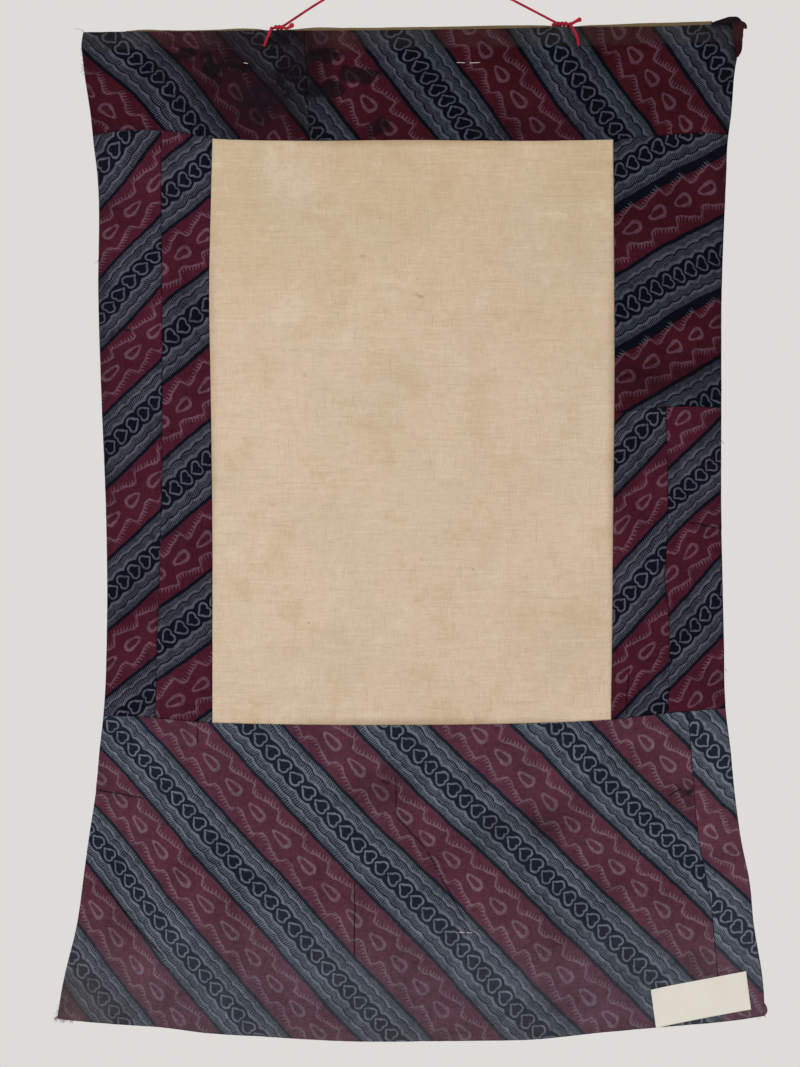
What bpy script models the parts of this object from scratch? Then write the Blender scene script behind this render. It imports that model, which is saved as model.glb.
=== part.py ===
"""A hanging picture mount of cloth (a thangka), seen from its back, in metres.

The origin is where its red cord goes over whatever holds it. +Z is up, so a place on the
cloth is given by x and by its drop below the origin. The back, which shows, faces -Y, and
the picture's side faces +Y. Every sheet is a grid laid between four edges, pushed in and
out by the folds and given its thickness along Y, so neighbours keep their gap.
"""

import math
from collections import namedtuple

import bmesh
import bpy
import numpy as np

# Thicknesses, and the gaps that pieces keep from each other
PANEL_THICK = 0.0020
CANVAS_THICK = 0.0012
HEADING_THICK = 0.0014
LABEL_THICK = 0.0010
GAP = 0.0003
SEAM_GAP = 0.0005

# The size of a sheet's grid cells, and the rounds in which a grid settles between its edges
CELL = 0.020
SETTLING = 12

# Edges that turn more sharply than this are drawn sharp
SHARP_FROM = math.radians(40)

# The rod pocket along the top: how deep it is, how far it bulges on the back, and where its
# rows of points lie, as shares of its depth
POCKET_DEEP = 0.015
POCKET_RISE = 0.0016
POCKET_ROWS = (0.0, 0.12, 0.35, 0.65, 0.88, 1.0)

# The heading goes down behind the top panels by this much
HEADING_TUCK = 0.016
HEADING_BEHIND = 0.0007

# The red cord
CORD_THICK = 0.0024
CORD_STEP = 0.0060
LOOP_CLEAR = 0.0010
TUBE_RESOLUTION = 2

# The label: its size, its middle and its tilt
LABEL_WIDE = 0.0800
LABEL_TALL = 0.0320
LABEL_X = 0.2405
LABEL_DROP = 0.8750
LABEL_TILT = math.radians(11.9)
LABEL_OFF = 0.0008
LABEL_COLUMNS = 13
LABEL_ROWS = 6

# The cloth's two sides: drop, then x on the left and on the right
SIDES = (
    (0.064, -0.2735, 0.2625),
    (0.071, -0.2748, 0.2678),
    (0.082, -0.2760, 0.2705),
    (0.091, -0.2752, 0.2702),
    (0.100, -0.2742, 0.2686),
    (0.140, -0.2682, 0.2652),
    (0.162, -0.2658, 0.2626),
    (0.188, -0.2625, 0.2616),
    (0.290, -0.2612, 0.2580),
    (0.384, -0.2580, 0.2574),
    (0.460, -0.2550, 0.2570),
    (0.575, -0.2542, 0.2590),
    (0.638, -0.2570, 0.2612),
    (0.668, -0.2604, 0.2650),
    (0.703, -0.2636, 0.2684),
    (0.750, -0.2706, 0.2752),
    (0.775, -0.2738, 0.2805),
    (0.812, -0.2787, 0.2840),
    (0.861, -0.2898, 0.2912),
    (0.892, -0.2948, 0.2930),
)

# Edges and seams that run across: x, then drop
TOP_EDGE = ((-0.274, 0.0692), (-0.093, 0.0688), (0.040, 0.0672), (0.157, 0.0658), (0.270, 0.0640))
TOP_SEAM = (
    (-0.2680, 0.1558),
    (-0.2460, 0.1524),
    (-0.2100, 0.1518),
    (-0.1858, 0.1550),
    (-0.1660, 0.1590),
    (0.0000, 0.1596),
    (0.1680, 0.1597),
    (0.2158, 0.1556),
    (0.2440, 0.1540),
    (0.2640, 0.1556),
)
LOW_SEAM = (
    (-0.2580, 0.6394),
    (-0.2280, 0.6402),
    (-0.1970, 0.6430),
    (-0.1660, 0.6454),
    (-0.0175, 0.6474),
    (0.0730, 0.6464),
    (0.1660, 0.6426),
    (0.2110, 0.6376),
    (0.2620, 0.6330),
)
RIGHT_SEAM = ((0.168, 0.3880), (0.208, 0.3826), (0.227, 0.3818), (0.258, 0.3832))
BOTTOM_EDGE = (
    (-0.295, 0.8902),
    (-0.249, 0.8953),
    (-0.209, 0.8985),
    (-0.169, 0.9043),
    (-0.108, 0.9084),
    (0.007, 0.9113),
    (0.091, 0.9094),
    (0.152, 0.9038),
    (0.204, 0.8995),
    (0.269, 0.8924),
    (0.294, 0.8880),
)

# The heading's top edge, which dips where the two ties cross it
HEADING_TOP = (
    (-0.2390, 0.0683),
    (-0.2180, 0.0664),
    (-0.1760, 0.0674),
    (-0.1320, 0.0658),
    (-0.1170, 0.0676),
    (-0.1030, 0.0657),
    (-0.0900, 0.0645),
    (-0.0530, 0.0657),
    (0.0150, 0.0646),
    (0.1070, 0.0640),
    (0.1340, 0.0652),
    (0.1480, 0.0642),
    (0.1740, 0.0627),
    (0.2500, 0.0607),
)

# Seams and edges that run down: drop, then x
TOP_PANEL_SEAM = ((0.065, -0.0900), (0.159, -0.0850))
CANVAS_LEFT = ((0.159, -0.1665), (0.290, -0.1692), (0.375, -0.1678), (0.500, -0.1665), (0.646, -0.1665))
CANVAS_RIGHT = ((0.159, 0.1676), (0.343, 0.1686), (0.534, 0.1670), (0.643, 0.1658))
LEFT_STRIP_SEAM = ((0.152, -0.2090), (0.510, -0.2100), (0.577, -0.2125), (0.640, -0.2140))
RIGHT_STRIP_SEAM = ((0.382, 0.2118), (0.495, 0.2125), (0.522, 0.2106), (0.558, 0.2136), (0.637, 0.2136))
GORE_SEAM = (
    (0.634, 0.2300),
    (0.678, 0.2333),
    (0.740, 0.2386),
    (0.798, 0.2492),
    (0.835, 0.2525),
    (0.893, 0.2580),
)

# The folds: a place, the turn of the crease (0 runs straight down, in degrees), half the
# fold's width and length, and its depth (+ goes away from the viewer of the back)
Fold = namedtuple("Fold", "x drop turn half_width half_length depth")
FOLDS = (
    # the draw down from each tie, and the sag between them
    Fold(-0.117, 0.100, 0, 0.030, 0.075, -0.0030),
    Fold(0.137, 0.100, 0, 0.030, 0.075, -0.0030),
    Fold(0.010, 0.110, 0, 0.075, 0.080, 0.0026),
    # the top corners
    Fold(-0.272, 0.100, 0, 0.034, 0.085, 0.0045),
    Fold(0.262, 0.100, 0, 0.030, 0.060, -0.0035),
    # the long sides, which roll a little towards the viewer
    Fold(-0.262, 0.420, 0, 0.032, 0.190, -0.0045),
    Fold(0.262, 0.520, 0, 0.030, 0.130, -0.0038),
    Fold(0.245, 0.290, 0, 0.036, 0.090, 0.0026),
    # the canvas, slack in its window and waved by having been rolled up
    Fold(0.000, 0.400, 0, 0.120, 0.190, -0.0034),
    Fold(-0.050, 0.250, 90, 0.030, 0.220, 0.0013),
    Fold(0.040, 0.345, 90, 0.034, 0.240, -0.0014),
    Fold(-0.030, 0.455, 92, 0.036, 0.250, 0.0015),
    Fold(0.030, 0.565, 88, 0.038, 0.260, -0.0018),
    # the bottom panel's flutes, from left to right
    Fold(-0.205, 0.800, 8, 0.040, 0.110, -0.0052),
    Fold(-0.125, 0.830, 4, 0.038, 0.120, 0.0048),
    Fold(-0.045, 0.800, 0, 0.034, 0.110, -0.0034),
    Fold(0.030, 0.850, -3, 0.044, 0.110, 0.0044),
    Fold(0.108, 0.830, -6, 0.042, 0.120, -0.0046),
    Fold(0.190, 0.790, -12, 0.038, 0.110, 0.0036),
    # the two lower corners, which curl
    Fold(-0.292, 0.880, 40, 0.048, 0.090, -0.0080),
    Fold(0.292, 0.875, -38, 0.046, 0.080, -0.0060),
)

# The red cord's route: x, y and drop, from the left knot over the peak to the right knot
CORD_ROUTE = (
    (-0.1040, 0.0016, 0.0617),
    (-0.0800, 0.0010, 0.0472),
    (-0.0500, 0.0008, 0.0291),
    (-0.0250, 0.0004, 0.0141),
    (-0.0100, 0.0000, 0.0049),
    (-0.0045, 0.0000, 0.0022),
    (0.0000, 0.0000, 0.0012),
    (0.0045, 0.0000, 0.0021),
    (0.0100, 0.0000, 0.0046),
    (0.0300, 0.0004, 0.0150),
    (0.0600, 0.0008, 0.0306),
    (0.0900, 0.0010, 0.0462),
    (0.1170, 0.0011, 0.0604),
)

# Each tie: where its loop goes into the cloth, and where it goes over the top
Tie = namedtuple("Tie", "name hole_x hole_drop over_x over_drop")
TIES = (
    Tie("left", -0.1229, 0.0842, -0.1170, 0.0676),
    Tie("right", 0.1394, 0.0827, 0.1340, 0.0652),
)

# A knot and its free end, as rows of x, y, drop and radius
KNOTS = {
    "left_knot": (
        (-0.1150, 0.0010, 0.0638, 0.0012),
        (-0.1132, 0.0008, 0.0634, 0.0024),
        (-0.1104, 0.0010, 0.0629, 0.0029),
        (-0.1084, 0.0012, 0.0631, 0.0023),
        (-0.1066, 0.0008, 0.0630, 0.0028),
        (-0.1046, 0.0002, 0.0640, 0.0016),
        (-0.1028, -0.0016, 0.0632, 0.0013),
        (-0.1008, -0.0024, 0.0622, 0.0014),
        (-0.0984, -0.0024, 0.0608, 0.0017),
        (-0.0972, -0.0024, 0.0601, 0.0013),
    ),
    "right_knot": (
        (0.1176, 0.0010, 0.0624, 0.0012),
        (0.1194, 0.0008, 0.0616, 0.0025),
        (0.1218, 0.0010, 0.0609, 0.0029),
        (0.1242, 0.0012, 0.0608, 0.0024),
        (0.1266, 0.0010, 0.0607, 0.0028),
        (0.1288, 0.0006, 0.0610, 0.0024),
        (0.1306, -0.0006, 0.0612, 0.0015),
        (0.1330, -0.0022, 0.0600, 0.0013),
        (0.1360, -0.0026, 0.0583, 0.0013),
        (0.1386, -0.0026, 0.0567, 0.0016),
        (0.1400, -0.0026, 0.0558, 0.0013),
    ),
}

# The gathered top right corner: x, y, drop and radius along the roll
CORNER_ROLL = (
    (0.2508, -0.0008, 0.0618, 0.0009),
    (0.2560, -0.0014, 0.0608, 0.0016),
    (0.2610, -0.0020, 0.0596, 0.0022),
    (0.2655, -0.0026, 0.0588, 0.0032),
    (0.2702, -0.0032, 0.0602, 0.0045),
    (0.2730, -0.0036, 0.0650, 0.0045),
    (0.2724, -0.0040, 0.0712, 0.0039),
    (0.2731, -0.0042, 0.0768, 0.0030),
    (0.2735, -0.0040, 0.0822, 0.0025),
    (0.2729, -0.0034, 0.0872, 0.0020),
    (0.2719, -0.0030, 0.0910, 0.0012),
)

# Colours and roughness, by finish
FINISHES = {
    "print": ((0.075, 0.035, 0.055, 1.0), 0.90),
    "canvas": ((0.600, 0.470, 0.310, 1.0), 0.92),
    "heading": ((0.170, 0.130, 0.070, 1.0), 0.80),
    "cord": ((0.450, 0.015, 0.045, 1.0), 0.65),
    "paper": ((0.760, 0.720, 0.640, 1.0), 0.75),
}


def clear_scene():
    """Take every object out of the open scene."""
    for thing in list(bpy.data.objects):
        bpy.data.objects.remove(thing, do_unlink=True)


def make_collection(name):
    """A collection for the parts, linked to the scene."""
    made = bpy.data.collections.new(name)
    bpy.context.scene.collection.children.link(made)
    return made


def make_materials():
    """A Principled material for each finish."""
    made = {}
    for name, (colour, roughness) in FINISHES.items():
        material = bpy.data.materials.new(name)
        material.use_nodes = True
        shader = material.node_tree.nodes["Principled BSDF"]
        shader.inputs["Base Color"].default_value = colour
        shader.inputs["Roughness"].default_value = roughness
        shader.inputs["Metallic"].default_value = 0.0
        made[name] = material
    return made


def through(rows, value=1):
    """A smooth curve through a table's rows, as a function of its first column."""
    known_at = np.array([row[0] for row in rows])
    known = np.array([row[value] for row in rows])
    slope = np.gradient(known, known_at)

    def read(at):
        at = np.clip(at, known_at[0], known_at[-1])
        low = np.clip(np.searchsorted(known_at, at) - 1, 0, len(known_at) - 2)
        step = known_at[low + 1] - known_at[low]
        share = (at - known_at[low]) / step
        rise = known[low + 1] - known[low]
        bend_in = slope[low] * step - rise
        bend_out = rise - slope[low + 1] * step
        bend = share * (1 - share) * ((1 - share) * bend_in + share * bend_out)
        return known[low] + share * rise + bend

    return read


def relief(x, drop):
    """How far the cloth stands from its flat plane along Y: the sum of its folds."""
    depth = np.zeros_like(x)
    for fold in FOLDS:
        turn = math.radians(fold.turn)
        across = (x - fold.x) * math.cos(turn) + (drop - fold.drop) * math.sin(turn)
        along = (drop - fold.drop) * math.cos(turn) - (x - fold.x) * math.sin(turn)
        spread = (across / fold.half_width) ** 2 + (along / fold.half_length) ** 2
        depth = depth + fold.depth * np.exp(-spread)
    return depth


def pocket(x, drop):
    """How far the rod pocket bulges towards the viewer: a rounded ridge under the top edge."""
    share = (drop - through(TOP_EDGE)(x)) / POCKET_DEEP
    return POCKET_RISE * np.sqrt(np.sin(math.pi * np.clip(share, 0.0, 1.0)))


def stations(length):
    """Shares from 0 to 1, a cell apart along a length."""
    return np.linspace(0.0, 1.0, max(2, round(length / CELL)) + 1)


def middle(left, right, top, bottom):
    """The middle of the space between four edges, and how wide and tall the space is there."""
    x, drop = 0.0, 0.0
    for _ in range(SETTLING):
        x = (left(drop) + right(drop)) / 2
        drop = (top(x) + bottom(x)) / 2
    return x, drop, right(drop) - left(drop), bottom(x) - top(x)


def between(left, right, top, bottom, rows=None):
    """Places (x, drop) that fill the space between four edges, half a gap inside each."""
    mid_x, mid_drop, width, height = middle(left, right, top, bottom)
    if rows is None:
        rows = stations(height)
    across, down = np.meshgrid(stations(width), rows)
    x, drop = np.full_like(across, mid_x), np.full_like(across, mid_drop)
    for _ in range(SETTLING):
        x = (left(drop) + SEAM_GAP / 2) * (1 - across) + (right(drop) - SEAM_GAP / 2) * across
        drop = (top(x) + SEAM_GAP / 2) * (1 - down) + (bottom(x) - SEAM_GAP / 2) * down
    return x, drop


def add_sheet(name, x, lies, drop, thick, finish):
    """A sheet of cloth: a grid with its middle at (x, lies, -drop), given its thickness along Y."""
    rows, columns = x.shape
    mesh = bpy.data.meshes.new(name)
    grid = bmesh.new()
    bmesh.ops.create_grid(grid, x_segments=columns - 1, y_segments=rows - 1, size=1.0)
    for vert in grid.verts:
        column = round((vert.co.x + 1) / 2 * (columns - 1))
        row = round((1 - vert.co.y) / 2 * (rows - 1))
        vert.co = (x[row, column], lies[row, column] - thick / 2, -drop[row, column])
    grown = bmesh.ops.extrude_face_region(grid, geom=list(grid.faces))["geom"]
    front = [part for part in grown if isinstance(part, bmesh.types.BMVert)]
    bmesh.ops.translate(grid, vec=(0.0, thick, 0.0), verts=front)
    bmesh.ops.recalc_face_normals(grid, faces=list(grid.faces))
    grid.to_mesh(mesh)
    grid.free()
    sheet = bpy.data.objects.new(name, mesh)
    parts.objects.link(sheet)
    mesh.materials.append(materials[finish])
    mesh.shade_smooth()
    mesh.set_sharp_from_angle(angle=SHARP_FROM)
    return sheet


def add_tube(name, points, thick, finish, radii=None):
    """A round cord through points (x, y, drop), with its ends closed."""
    curve = bpy.data.curves.new(name, "CURVE")
    curve.dimensions = "3D"
    curve.bevel_depth = thick / 2
    curve.bevel_resolution = TUBE_RESOLUTION
    curve.use_fill_caps = True
    spline = curve.splines.new("POLY")
    spline.points.add(len(points) - 1)
    for index, (x, y, drop) in enumerate(points):
        spline.points[index].co = (x, y, -drop, 1.0)
        if radii is not None:
            spline.points[index].radius = radii[index] / (thick / 2)
    tube = bpy.data.objects.new(name, curve)
    parts.objects.link(tube)
    curve.materials.append(materials[finish])
    return tube


def smooth_route(points, step):
    """Points a step apart on a smooth curve through a route's own points."""
    route = np.array(points)
    chord = np.concatenate([[0.0], np.cumsum(np.linalg.norm(np.diff(route, axis=0), axis=1))])
    at = np.linspace(0.0, chord[-1], round(chord[-1] / step) + 1)
    rows = np.column_stack([chord, route])
    return np.column_stack([through(rows, column)(at) for column in (1, 2, 3)])


def add_panels():
    """The printed cotton's pieces, each between its left, right, top and bottom edges."""
    side_left, side_right = through(SIDES, 1), through(SIDES, 2)
    top_seam, low_seam, right_seam = through(TOP_SEAM), through(LOW_SEAM), through(RIGHT_SEAM)
    canvas_left, canvas_right = through(CANVAS_LEFT), through(CANVAS_RIGHT)
    left_strips, right_strips = through(LEFT_STRIP_SEAM), through(RIGHT_STRIP_SEAM)
    gore, hem = through(GORE_SEAM), through(BOTTOM_EDGE)
    pieces = {
        "left_outer_strip": (side_left, left_strips, top_seam, low_seam),
        "left_inner_strip": (left_strips, canvas_left, top_seam, low_seam),
        "right_upper_panel": (canvas_right, side_right, top_seam, right_seam),
        "right_inner_strip": (canvas_right, right_strips, right_seam, low_seam),
        "right_outer_strip": (right_strips, side_right, right_seam, low_seam),
        "bottom_panel": (side_left, gore, low_seam, hem),
        "gore_strip": (gore, side_right, low_seam, hem),
    }
    for name, edges in pieces.items():
        x, drop = between(*edges)
        add_sheet(name, x, relief(x, drop), drop, PANEL_THICK, "print")


def add_top_panels():
    """The two pieces across the top, with finer rows where the rod pocket bulges."""
    side_left, side_right = through(SIDES, 1), through(SIDES, 2)
    top, seam, upright = through(TOP_EDGE), through(TOP_SEAM), through(TOP_PANEL_SEAM)
    tall = seam(0.0) - top(0.0)
    bulge = np.array(POCKET_ROWS) * POCKET_DEEP / tall
    rows = np.concatenate([bulge, bulge[-1] + (1 - bulge[-1]) * stations(tall - POCKET_DEEP)[1:]])
    pieces = {"top_left_panel": (side_left, upright), "top_right_panel": (upright, side_right)}
    for name, (left, right) in pieces.items():
        x, drop = between(left, right, top, seam, rows)
        add_sheet(name, x, relief(x, drop) - pocket(x, drop), drop, PANEL_THICK, "print")


def add_canvas():
    """The picture's ground cloth, thinner than its mount and in the middle of its thickness."""
    x, drop = between(through(CANVAS_LEFT), through(CANVAS_RIGHT), through(TOP_SEAM), through(LOW_SEAM))
    add_sheet("canvas", x, relief(x, drop), drop, CANVAS_THICK, "canvas")


def add_heading():
    """The front cloth's turned edge, behind the top panels and standing above them."""
    known = np.array(HEADING_TOP)[:, 0]
    columns = np.sort(np.concatenate([known, (known[1:] + known[:-1]) / 2]))
    across, down = np.meshgrid(columns, np.linspace(0.0, 1.0, 3))
    top = through(HEADING_TOP)(across)
    drop = top + (through(TOP_EDGE)(across) + HEADING_TUCK - top) * down
    behind = (PANEL_THICK + HEADING_THICK) / 2 + HEADING_BEHIND
    add_sheet("heading_band", across, relief(across, drop) + behind, drop, HEADING_THICK, "heading")


def add_label():
    """A paper label on the bottom panel and its gore, turned a little."""
    side = np.linspace(-0.5, 0.5, LABEL_COLUMNS) * LABEL_WIDE
    rise = np.linspace(-0.5, 0.5, LABEL_ROWS) * LABEL_TALL
    across, down = np.meshgrid(side, rise)
    x = LABEL_X + across * math.cos(LABEL_TILT) + down * math.sin(LABEL_TILT)
    drop = LABEL_DROP - across * math.sin(LABEL_TILT) + down * math.cos(LABEL_TILT)
    off = (PANEL_THICK + LABEL_THICK) / 2 + LABEL_OFF
    add_sheet("label", x, relief(x, drop) - off, drop, LABEL_THICK, "paper")


def add_loop(tie):
    """A tie's loop: up the back from its hole, over the top edge and down the front."""
    radius = CORD_THICK / 2
    x = np.array([tie.hole_x, (tie.hole_x + tie.over_x) / 2, tie.over_x])
    drop = np.array([tie.hole_drop, (tie.hole_drop + tie.over_drop) / 2, tie.over_drop])
    lies = relief(x, drop)
    back = lies - PANEL_THICK / 2 - POCKET_RISE - LOOP_CLEAR - radius
    front = lies + PANEL_THICK / 2 + HEADING_BEHIND + HEADING_THICK + LOOP_CLEAR + radius
    crest = tie.over_drop - LOOP_CLEAR - radius
    route = [
        (x[0], back[0], drop[0]),
        (x[1], back[1], drop[1]),
        (x[2], back[2], drop[2]),
        (x[2], (3 * back[2] + front[2]) / 4, crest),
        (x[2], (back[2] + 3 * front[2]) / 4, crest),
        (x[2], front[2], drop[2]),
        (x[1], front[1], drop[1]),
        (x[0], front[0], drop[0]),
    ]
    add_tube(f"{tie.name}_loop", smooth_route(route, CORD_THICK), CORD_THICK, "cord")


def add_cords():
    """The hanging cord, and each tie's loop, knot and free end."""
    add_tube("hanging_cord", smooth_route(CORD_ROUTE, CORD_STEP), CORD_THICK, "cord")
    for tie in TIES:
        add_loop(tie)
    for name, rows in KNOTS.items():
        points = [row[:3] for row in rows]
        add_tube(name, points, CORD_THICK, "cord", [row[3] for row in rows])


def add_corner():
    """The top right corner, gathered into a roll beside the panel's edge."""
    points = [row[:3] for row in CORNER_ROLL]
    radii = [row[3] for row in CORNER_ROLL]
    add_tube("corner_bunch", points, max(radii), "print", radii)


clear_scene()
parts = make_collection("thangka")
materials = make_materials()
add_canvas()
add_top_panels()
add_panels()
add_heading()
add_label()
add_cords()
add_corner()
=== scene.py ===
# %% [markdown]
# # A thangka, seen from its back
# The object is a painting on canvas in a mount of cloth, hung by a red cord with its back
# to us. We see the bare back of the canvas and, round it, lengths of one printed cotton that
# were pieced together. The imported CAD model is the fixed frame: it says where every piece
# goes. This notebook gives each piece its thin cloth, its folds and its finish.
#
# Units are metres, and tables of places are written in millimetres. The origin is the peak
# of the cord, +Z is up, and a place on the cloth is given by x and by its drop below the
# origin. The back faces -Y.

import math

import bpy
import numpy as np
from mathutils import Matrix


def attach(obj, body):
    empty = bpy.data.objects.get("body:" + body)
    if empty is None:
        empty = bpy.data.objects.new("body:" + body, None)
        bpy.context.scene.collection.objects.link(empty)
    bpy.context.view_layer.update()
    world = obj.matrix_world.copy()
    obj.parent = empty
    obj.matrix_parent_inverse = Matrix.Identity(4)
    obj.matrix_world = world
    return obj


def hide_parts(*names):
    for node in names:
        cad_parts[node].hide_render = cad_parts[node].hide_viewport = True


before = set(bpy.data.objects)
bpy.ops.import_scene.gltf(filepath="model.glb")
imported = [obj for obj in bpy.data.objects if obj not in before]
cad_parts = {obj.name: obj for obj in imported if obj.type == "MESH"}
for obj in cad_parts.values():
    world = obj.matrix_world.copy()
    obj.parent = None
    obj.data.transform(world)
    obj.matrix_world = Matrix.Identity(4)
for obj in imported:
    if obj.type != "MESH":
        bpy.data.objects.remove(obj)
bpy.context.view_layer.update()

# %% [markdown]
# ## Camera, light and floor
# The photograph looks straight at the cloth from far away, so the lens is long and the
# camera stands level with the middle of the picture. The light is a pale room: an even
# world, and one large soft lamp from the upper left that gives the folds a little shade.
# The display transform is the plain one, so a cloth's colour comes out as it was mixed.

# %% Camera, light and floor
MM = 0.001
VIEW_TALL = 889.2 * MM
VIEW_CENTRE = (-0.010, -0.4879)
CAMERA_BACK = 1.8
SENSOR = 36.0
FAR_CLIP = 20.0
LAMP_PLACE = (-1.30, -2.40, -0.15)
LAMP_TARGET = (0.0, 0.0, -0.45)
LAMP_WIDE = 1.2
LAMP_POWER = 27.0
ROOM_COLOUR = (0.735, 0.715, 0.690, 1.0)
FLOOR_DROP = 1.30
FLOOR_HALF = 1.15


def link(thing):
    """Put an object into the scene."""
    bpy.context.scene.collection.objects.link(thing)
    return thing


def built(name, points, faces):
    """A new object from points and faces, shaded smooth."""
    mesh = bpy.data.meshes.new(name)
    mesh.from_pydata(points, [], faces)
    mesh.shade_smooth()
    return link(bpy.data.objects.new(name, mesh))


def aim(thing, place, target):
    """Stand a lamp or camera at a place and turn its -Z axis towards a target."""
    thing.location = place
    towards = np.array(target) - np.array(place)
    flat = math.hypot(towards[0], towards[1])
    thing.rotation_euler = (math.atan2(flat, -towards[2]), 0.0, math.atan2(-towards[0], towards[1]))


camera = link(bpy.data.objects.new("camera", bpy.data.cameras.new("camera")))
camera.data.sensor_width = SENSOR
camera.data.lens = SENSOR * CAMERA_BACK / VIEW_TALL
camera.data.clip_end = FAR_CLIP
aim(camera, (VIEW_CENTRE[0], -CAMERA_BACK, VIEW_CENTRE[1]), (VIEW_CENTRE[0], 0.0, VIEW_CENTRE[1]))
bpy.context.scene.camera = camera

lamp = link(bpy.data.objects.new("lamp", bpy.data.lights.new("lamp", "AREA")))
lamp.data.shape = "DISK"
lamp.data.size = LAMP_WIDE
lamp.data.energy = LAMP_POWER
aim(lamp, LAMP_PLACE, LAMP_TARGET)

world = bpy.data.worlds.new("room")
world.use_nodes = True
world.node_tree.nodes["Background"].inputs["Color"].default_value = ROOM_COLOUR
bpy.context.scene.world = world
bpy.context.scene.view_settings.view_transform = "Standard"

corners = [(x * FLOOR_HALF, y * FLOOR_HALF, -FLOOR_DROP) for x, y in ((-1, -1), (1, -1), (1, 1), (-1, 1))]
floor = built("floor", corners, [(0, 1, 2, 3)])
print(f"a {camera.data.lens:.0f} mm lens, {CAMERA_BACK} m back")

# %% [markdown]
# ## Shader maths as Python
# A material is a small program that Blender runs for each point of a surface. Written with
# nodes it soon turns into a tangle, so one class holds a wire and lets us write sums on it.
# Each sum adds its Math node. Every other node comes from `make`.

# %% Shader maths
SPECULAR = 0.06


class Wire:
    """A number, colour or vector on its way through the nodes of one material."""

    def __init__(self, tree, socket=None):
        self.tree = tree
        self.socket = socket

    def make(self, kind, settings=None, inputs=None, output=0):
        """Any node: its settings are set first, then its sockets get values or links."""
        node = self.tree.nodes.new(kind)
        for name, setting in (settings or {}).items():
            if name == "stops":
                fill_ramp(node.color_ramp, setting)
            else:
                setattr(node, name, setting)
        for key, value in (inputs or {}).items():
            if isinstance(value, Wire):
                self.tree.links.new(value.socket, node.inputs[key])
            else:
                node.inputs[key].default_value = value
        return Wire(self.tree, node.outputs[output])

    def math(self, operation, *values):
        """A Math node on this wire and what follows it."""
        return self.make("ShaderNodeMath", {"operation": operation}, dict(enumerate((self, *values))))

    def __add__(self, other):
        return self.math("ADD", other)

    def __mul__(self, other):
        return self.math("MULTIPLY", other)

    def __sub__(self, other):
        return self.math("SUBTRACT", other)

    def __rsub__(self, other):
        return self.make("ShaderNodeMath", {"operation": "SUBTRACT"}, {0: other, 1: self})

    def __truediv__(self, other):
        return self.math("DIVIDE", other)

    def __abs__(self):
        return self.math("ABSOLUTE")

    def __or__(self, other):
        """The larger of two masks."""
        return self.math("MAXIMUM", other)

    def wrap(self, step):
        """How far the value is from the nearest multiple of a step, as in a repeat."""
        return self.math("WRAP", step / 2, -step / 2)

    def part(self, index):
        """One number of a vector."""
        return self.make("ShaderNodeSeparateXYZ", None, {0: self}, index)

    def rise(self, low, high):
        """0 below the first value, 1 above the second, and a smooth step between them."""
        inputs = {"Value": self, "From Min": low, "From Max": high}
        return self.make("ShaderNodeMapRange", {"interpolation_type": "SMOOTHSTEP"}, inputs)

    def within(self, half, soft):
        """1 where the value is nearer to 0 than half, with a soft edge outside."""
        return 1.0 - abs(self).rise(half - soft / 2, half + soft / 2)

    def ramp(self, stops):
        """The value read off a curve: rows of a place from 0 to 1 and a value or colour there."""
        return self.make("ShaderNodeValToRGB", {"stops": stops}, {"Fac": self})


def fill_ramp(ramp, stops):
    """Give a colour ramp its stops, numbers or colours, with smooth curves between them."""
    ramp.interpolation = "CARDINAL"
    while len(ramp.elements) > 1:
        ramp.elements.remove(ramp.elements[0])
    for index, (place, value) in enumerate(stops):
        element = ramp.elements[0] if index == 0 else ramp.elements.new(place)
        element.position = place
        element.color = (*value[:3], 1.0) if isinstance(value, tuple) else (value, value, value, 1.0)


def tint(red, green, blue):
    """A screen colour from 0 to 255, turned into the share of light it stands for."""
    share = np.array([red, green, blue]) / 255
    light = np.where(share <= 0.04045, share / 12.92, ((share + 0.055) / 1.055) ** 2.4)
    return (*light.tolist(), 1.0)


def blend(mask, first, second):
    """The first colour where the mask is 0 and the second where it is 1."""
    inputs = {0: mask, 6: first, 7: second}
    return mask.make("ShaderNodeMix", {"data_type": "RGBA"}, inputs, 2)


def layered(colour, layers):
    """Screen colours laid over a colour one after the other, each by its mask."""
    for mask, shade in layers:
        colour = blend(mask, colour, tint(*shade))
    return colour


def brightened(colour, factor):
    """A colour times a factor."""
    return colour.make("ShaderNodeVectorMath", {"operation": "SCALE"}, {0: colour, "Scale": factor})


def noise(place, scale, detail=2.0, roughness=0.5):
    """Cloudy noise from 0 to 1, with spots about 1 / scale metres wide."""
    inputs = {"Vector": place, "Scale": scale, "Detail": detail, "Roughness": roughness}
    return place.make("ShaderNodeTexNoise", None, inputs, "Fac")


def unsteady(value, place, waves):
    """A value with noise about 0 added, for each row of the noise's scale and its size."""
    for scale, size in waves:
        value = value + (noise(place, scale) - 0.5) * size
    return value


def stretch(place, factors):
    """A place scaled by three factors, so that noise becomes streaks."""
    return place.make("ShaderNodeMapping", {"vector_type": "POINT"}, {"Vector": place, "Scale": factors})


def kept(place, name, output="Vector"):
    """What was stored on the mesh's points under a name."""
    return place.make("ShaderNodeAttribute", {"attribute_name": name}, None, output)


def start_material(name):
    """A new material, its Principled shader, and a first wire on the Object coordinates."""
    material = bpy.data.materials.new(name)
    material.use_nodes = True
    tree = material.node_tree
    shader = tree.nodes["Principled BSDF"]
    place = Wire(tree).make("ShaderNodeTexCoord", None, None, "Object")
    return material, shader, place


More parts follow.
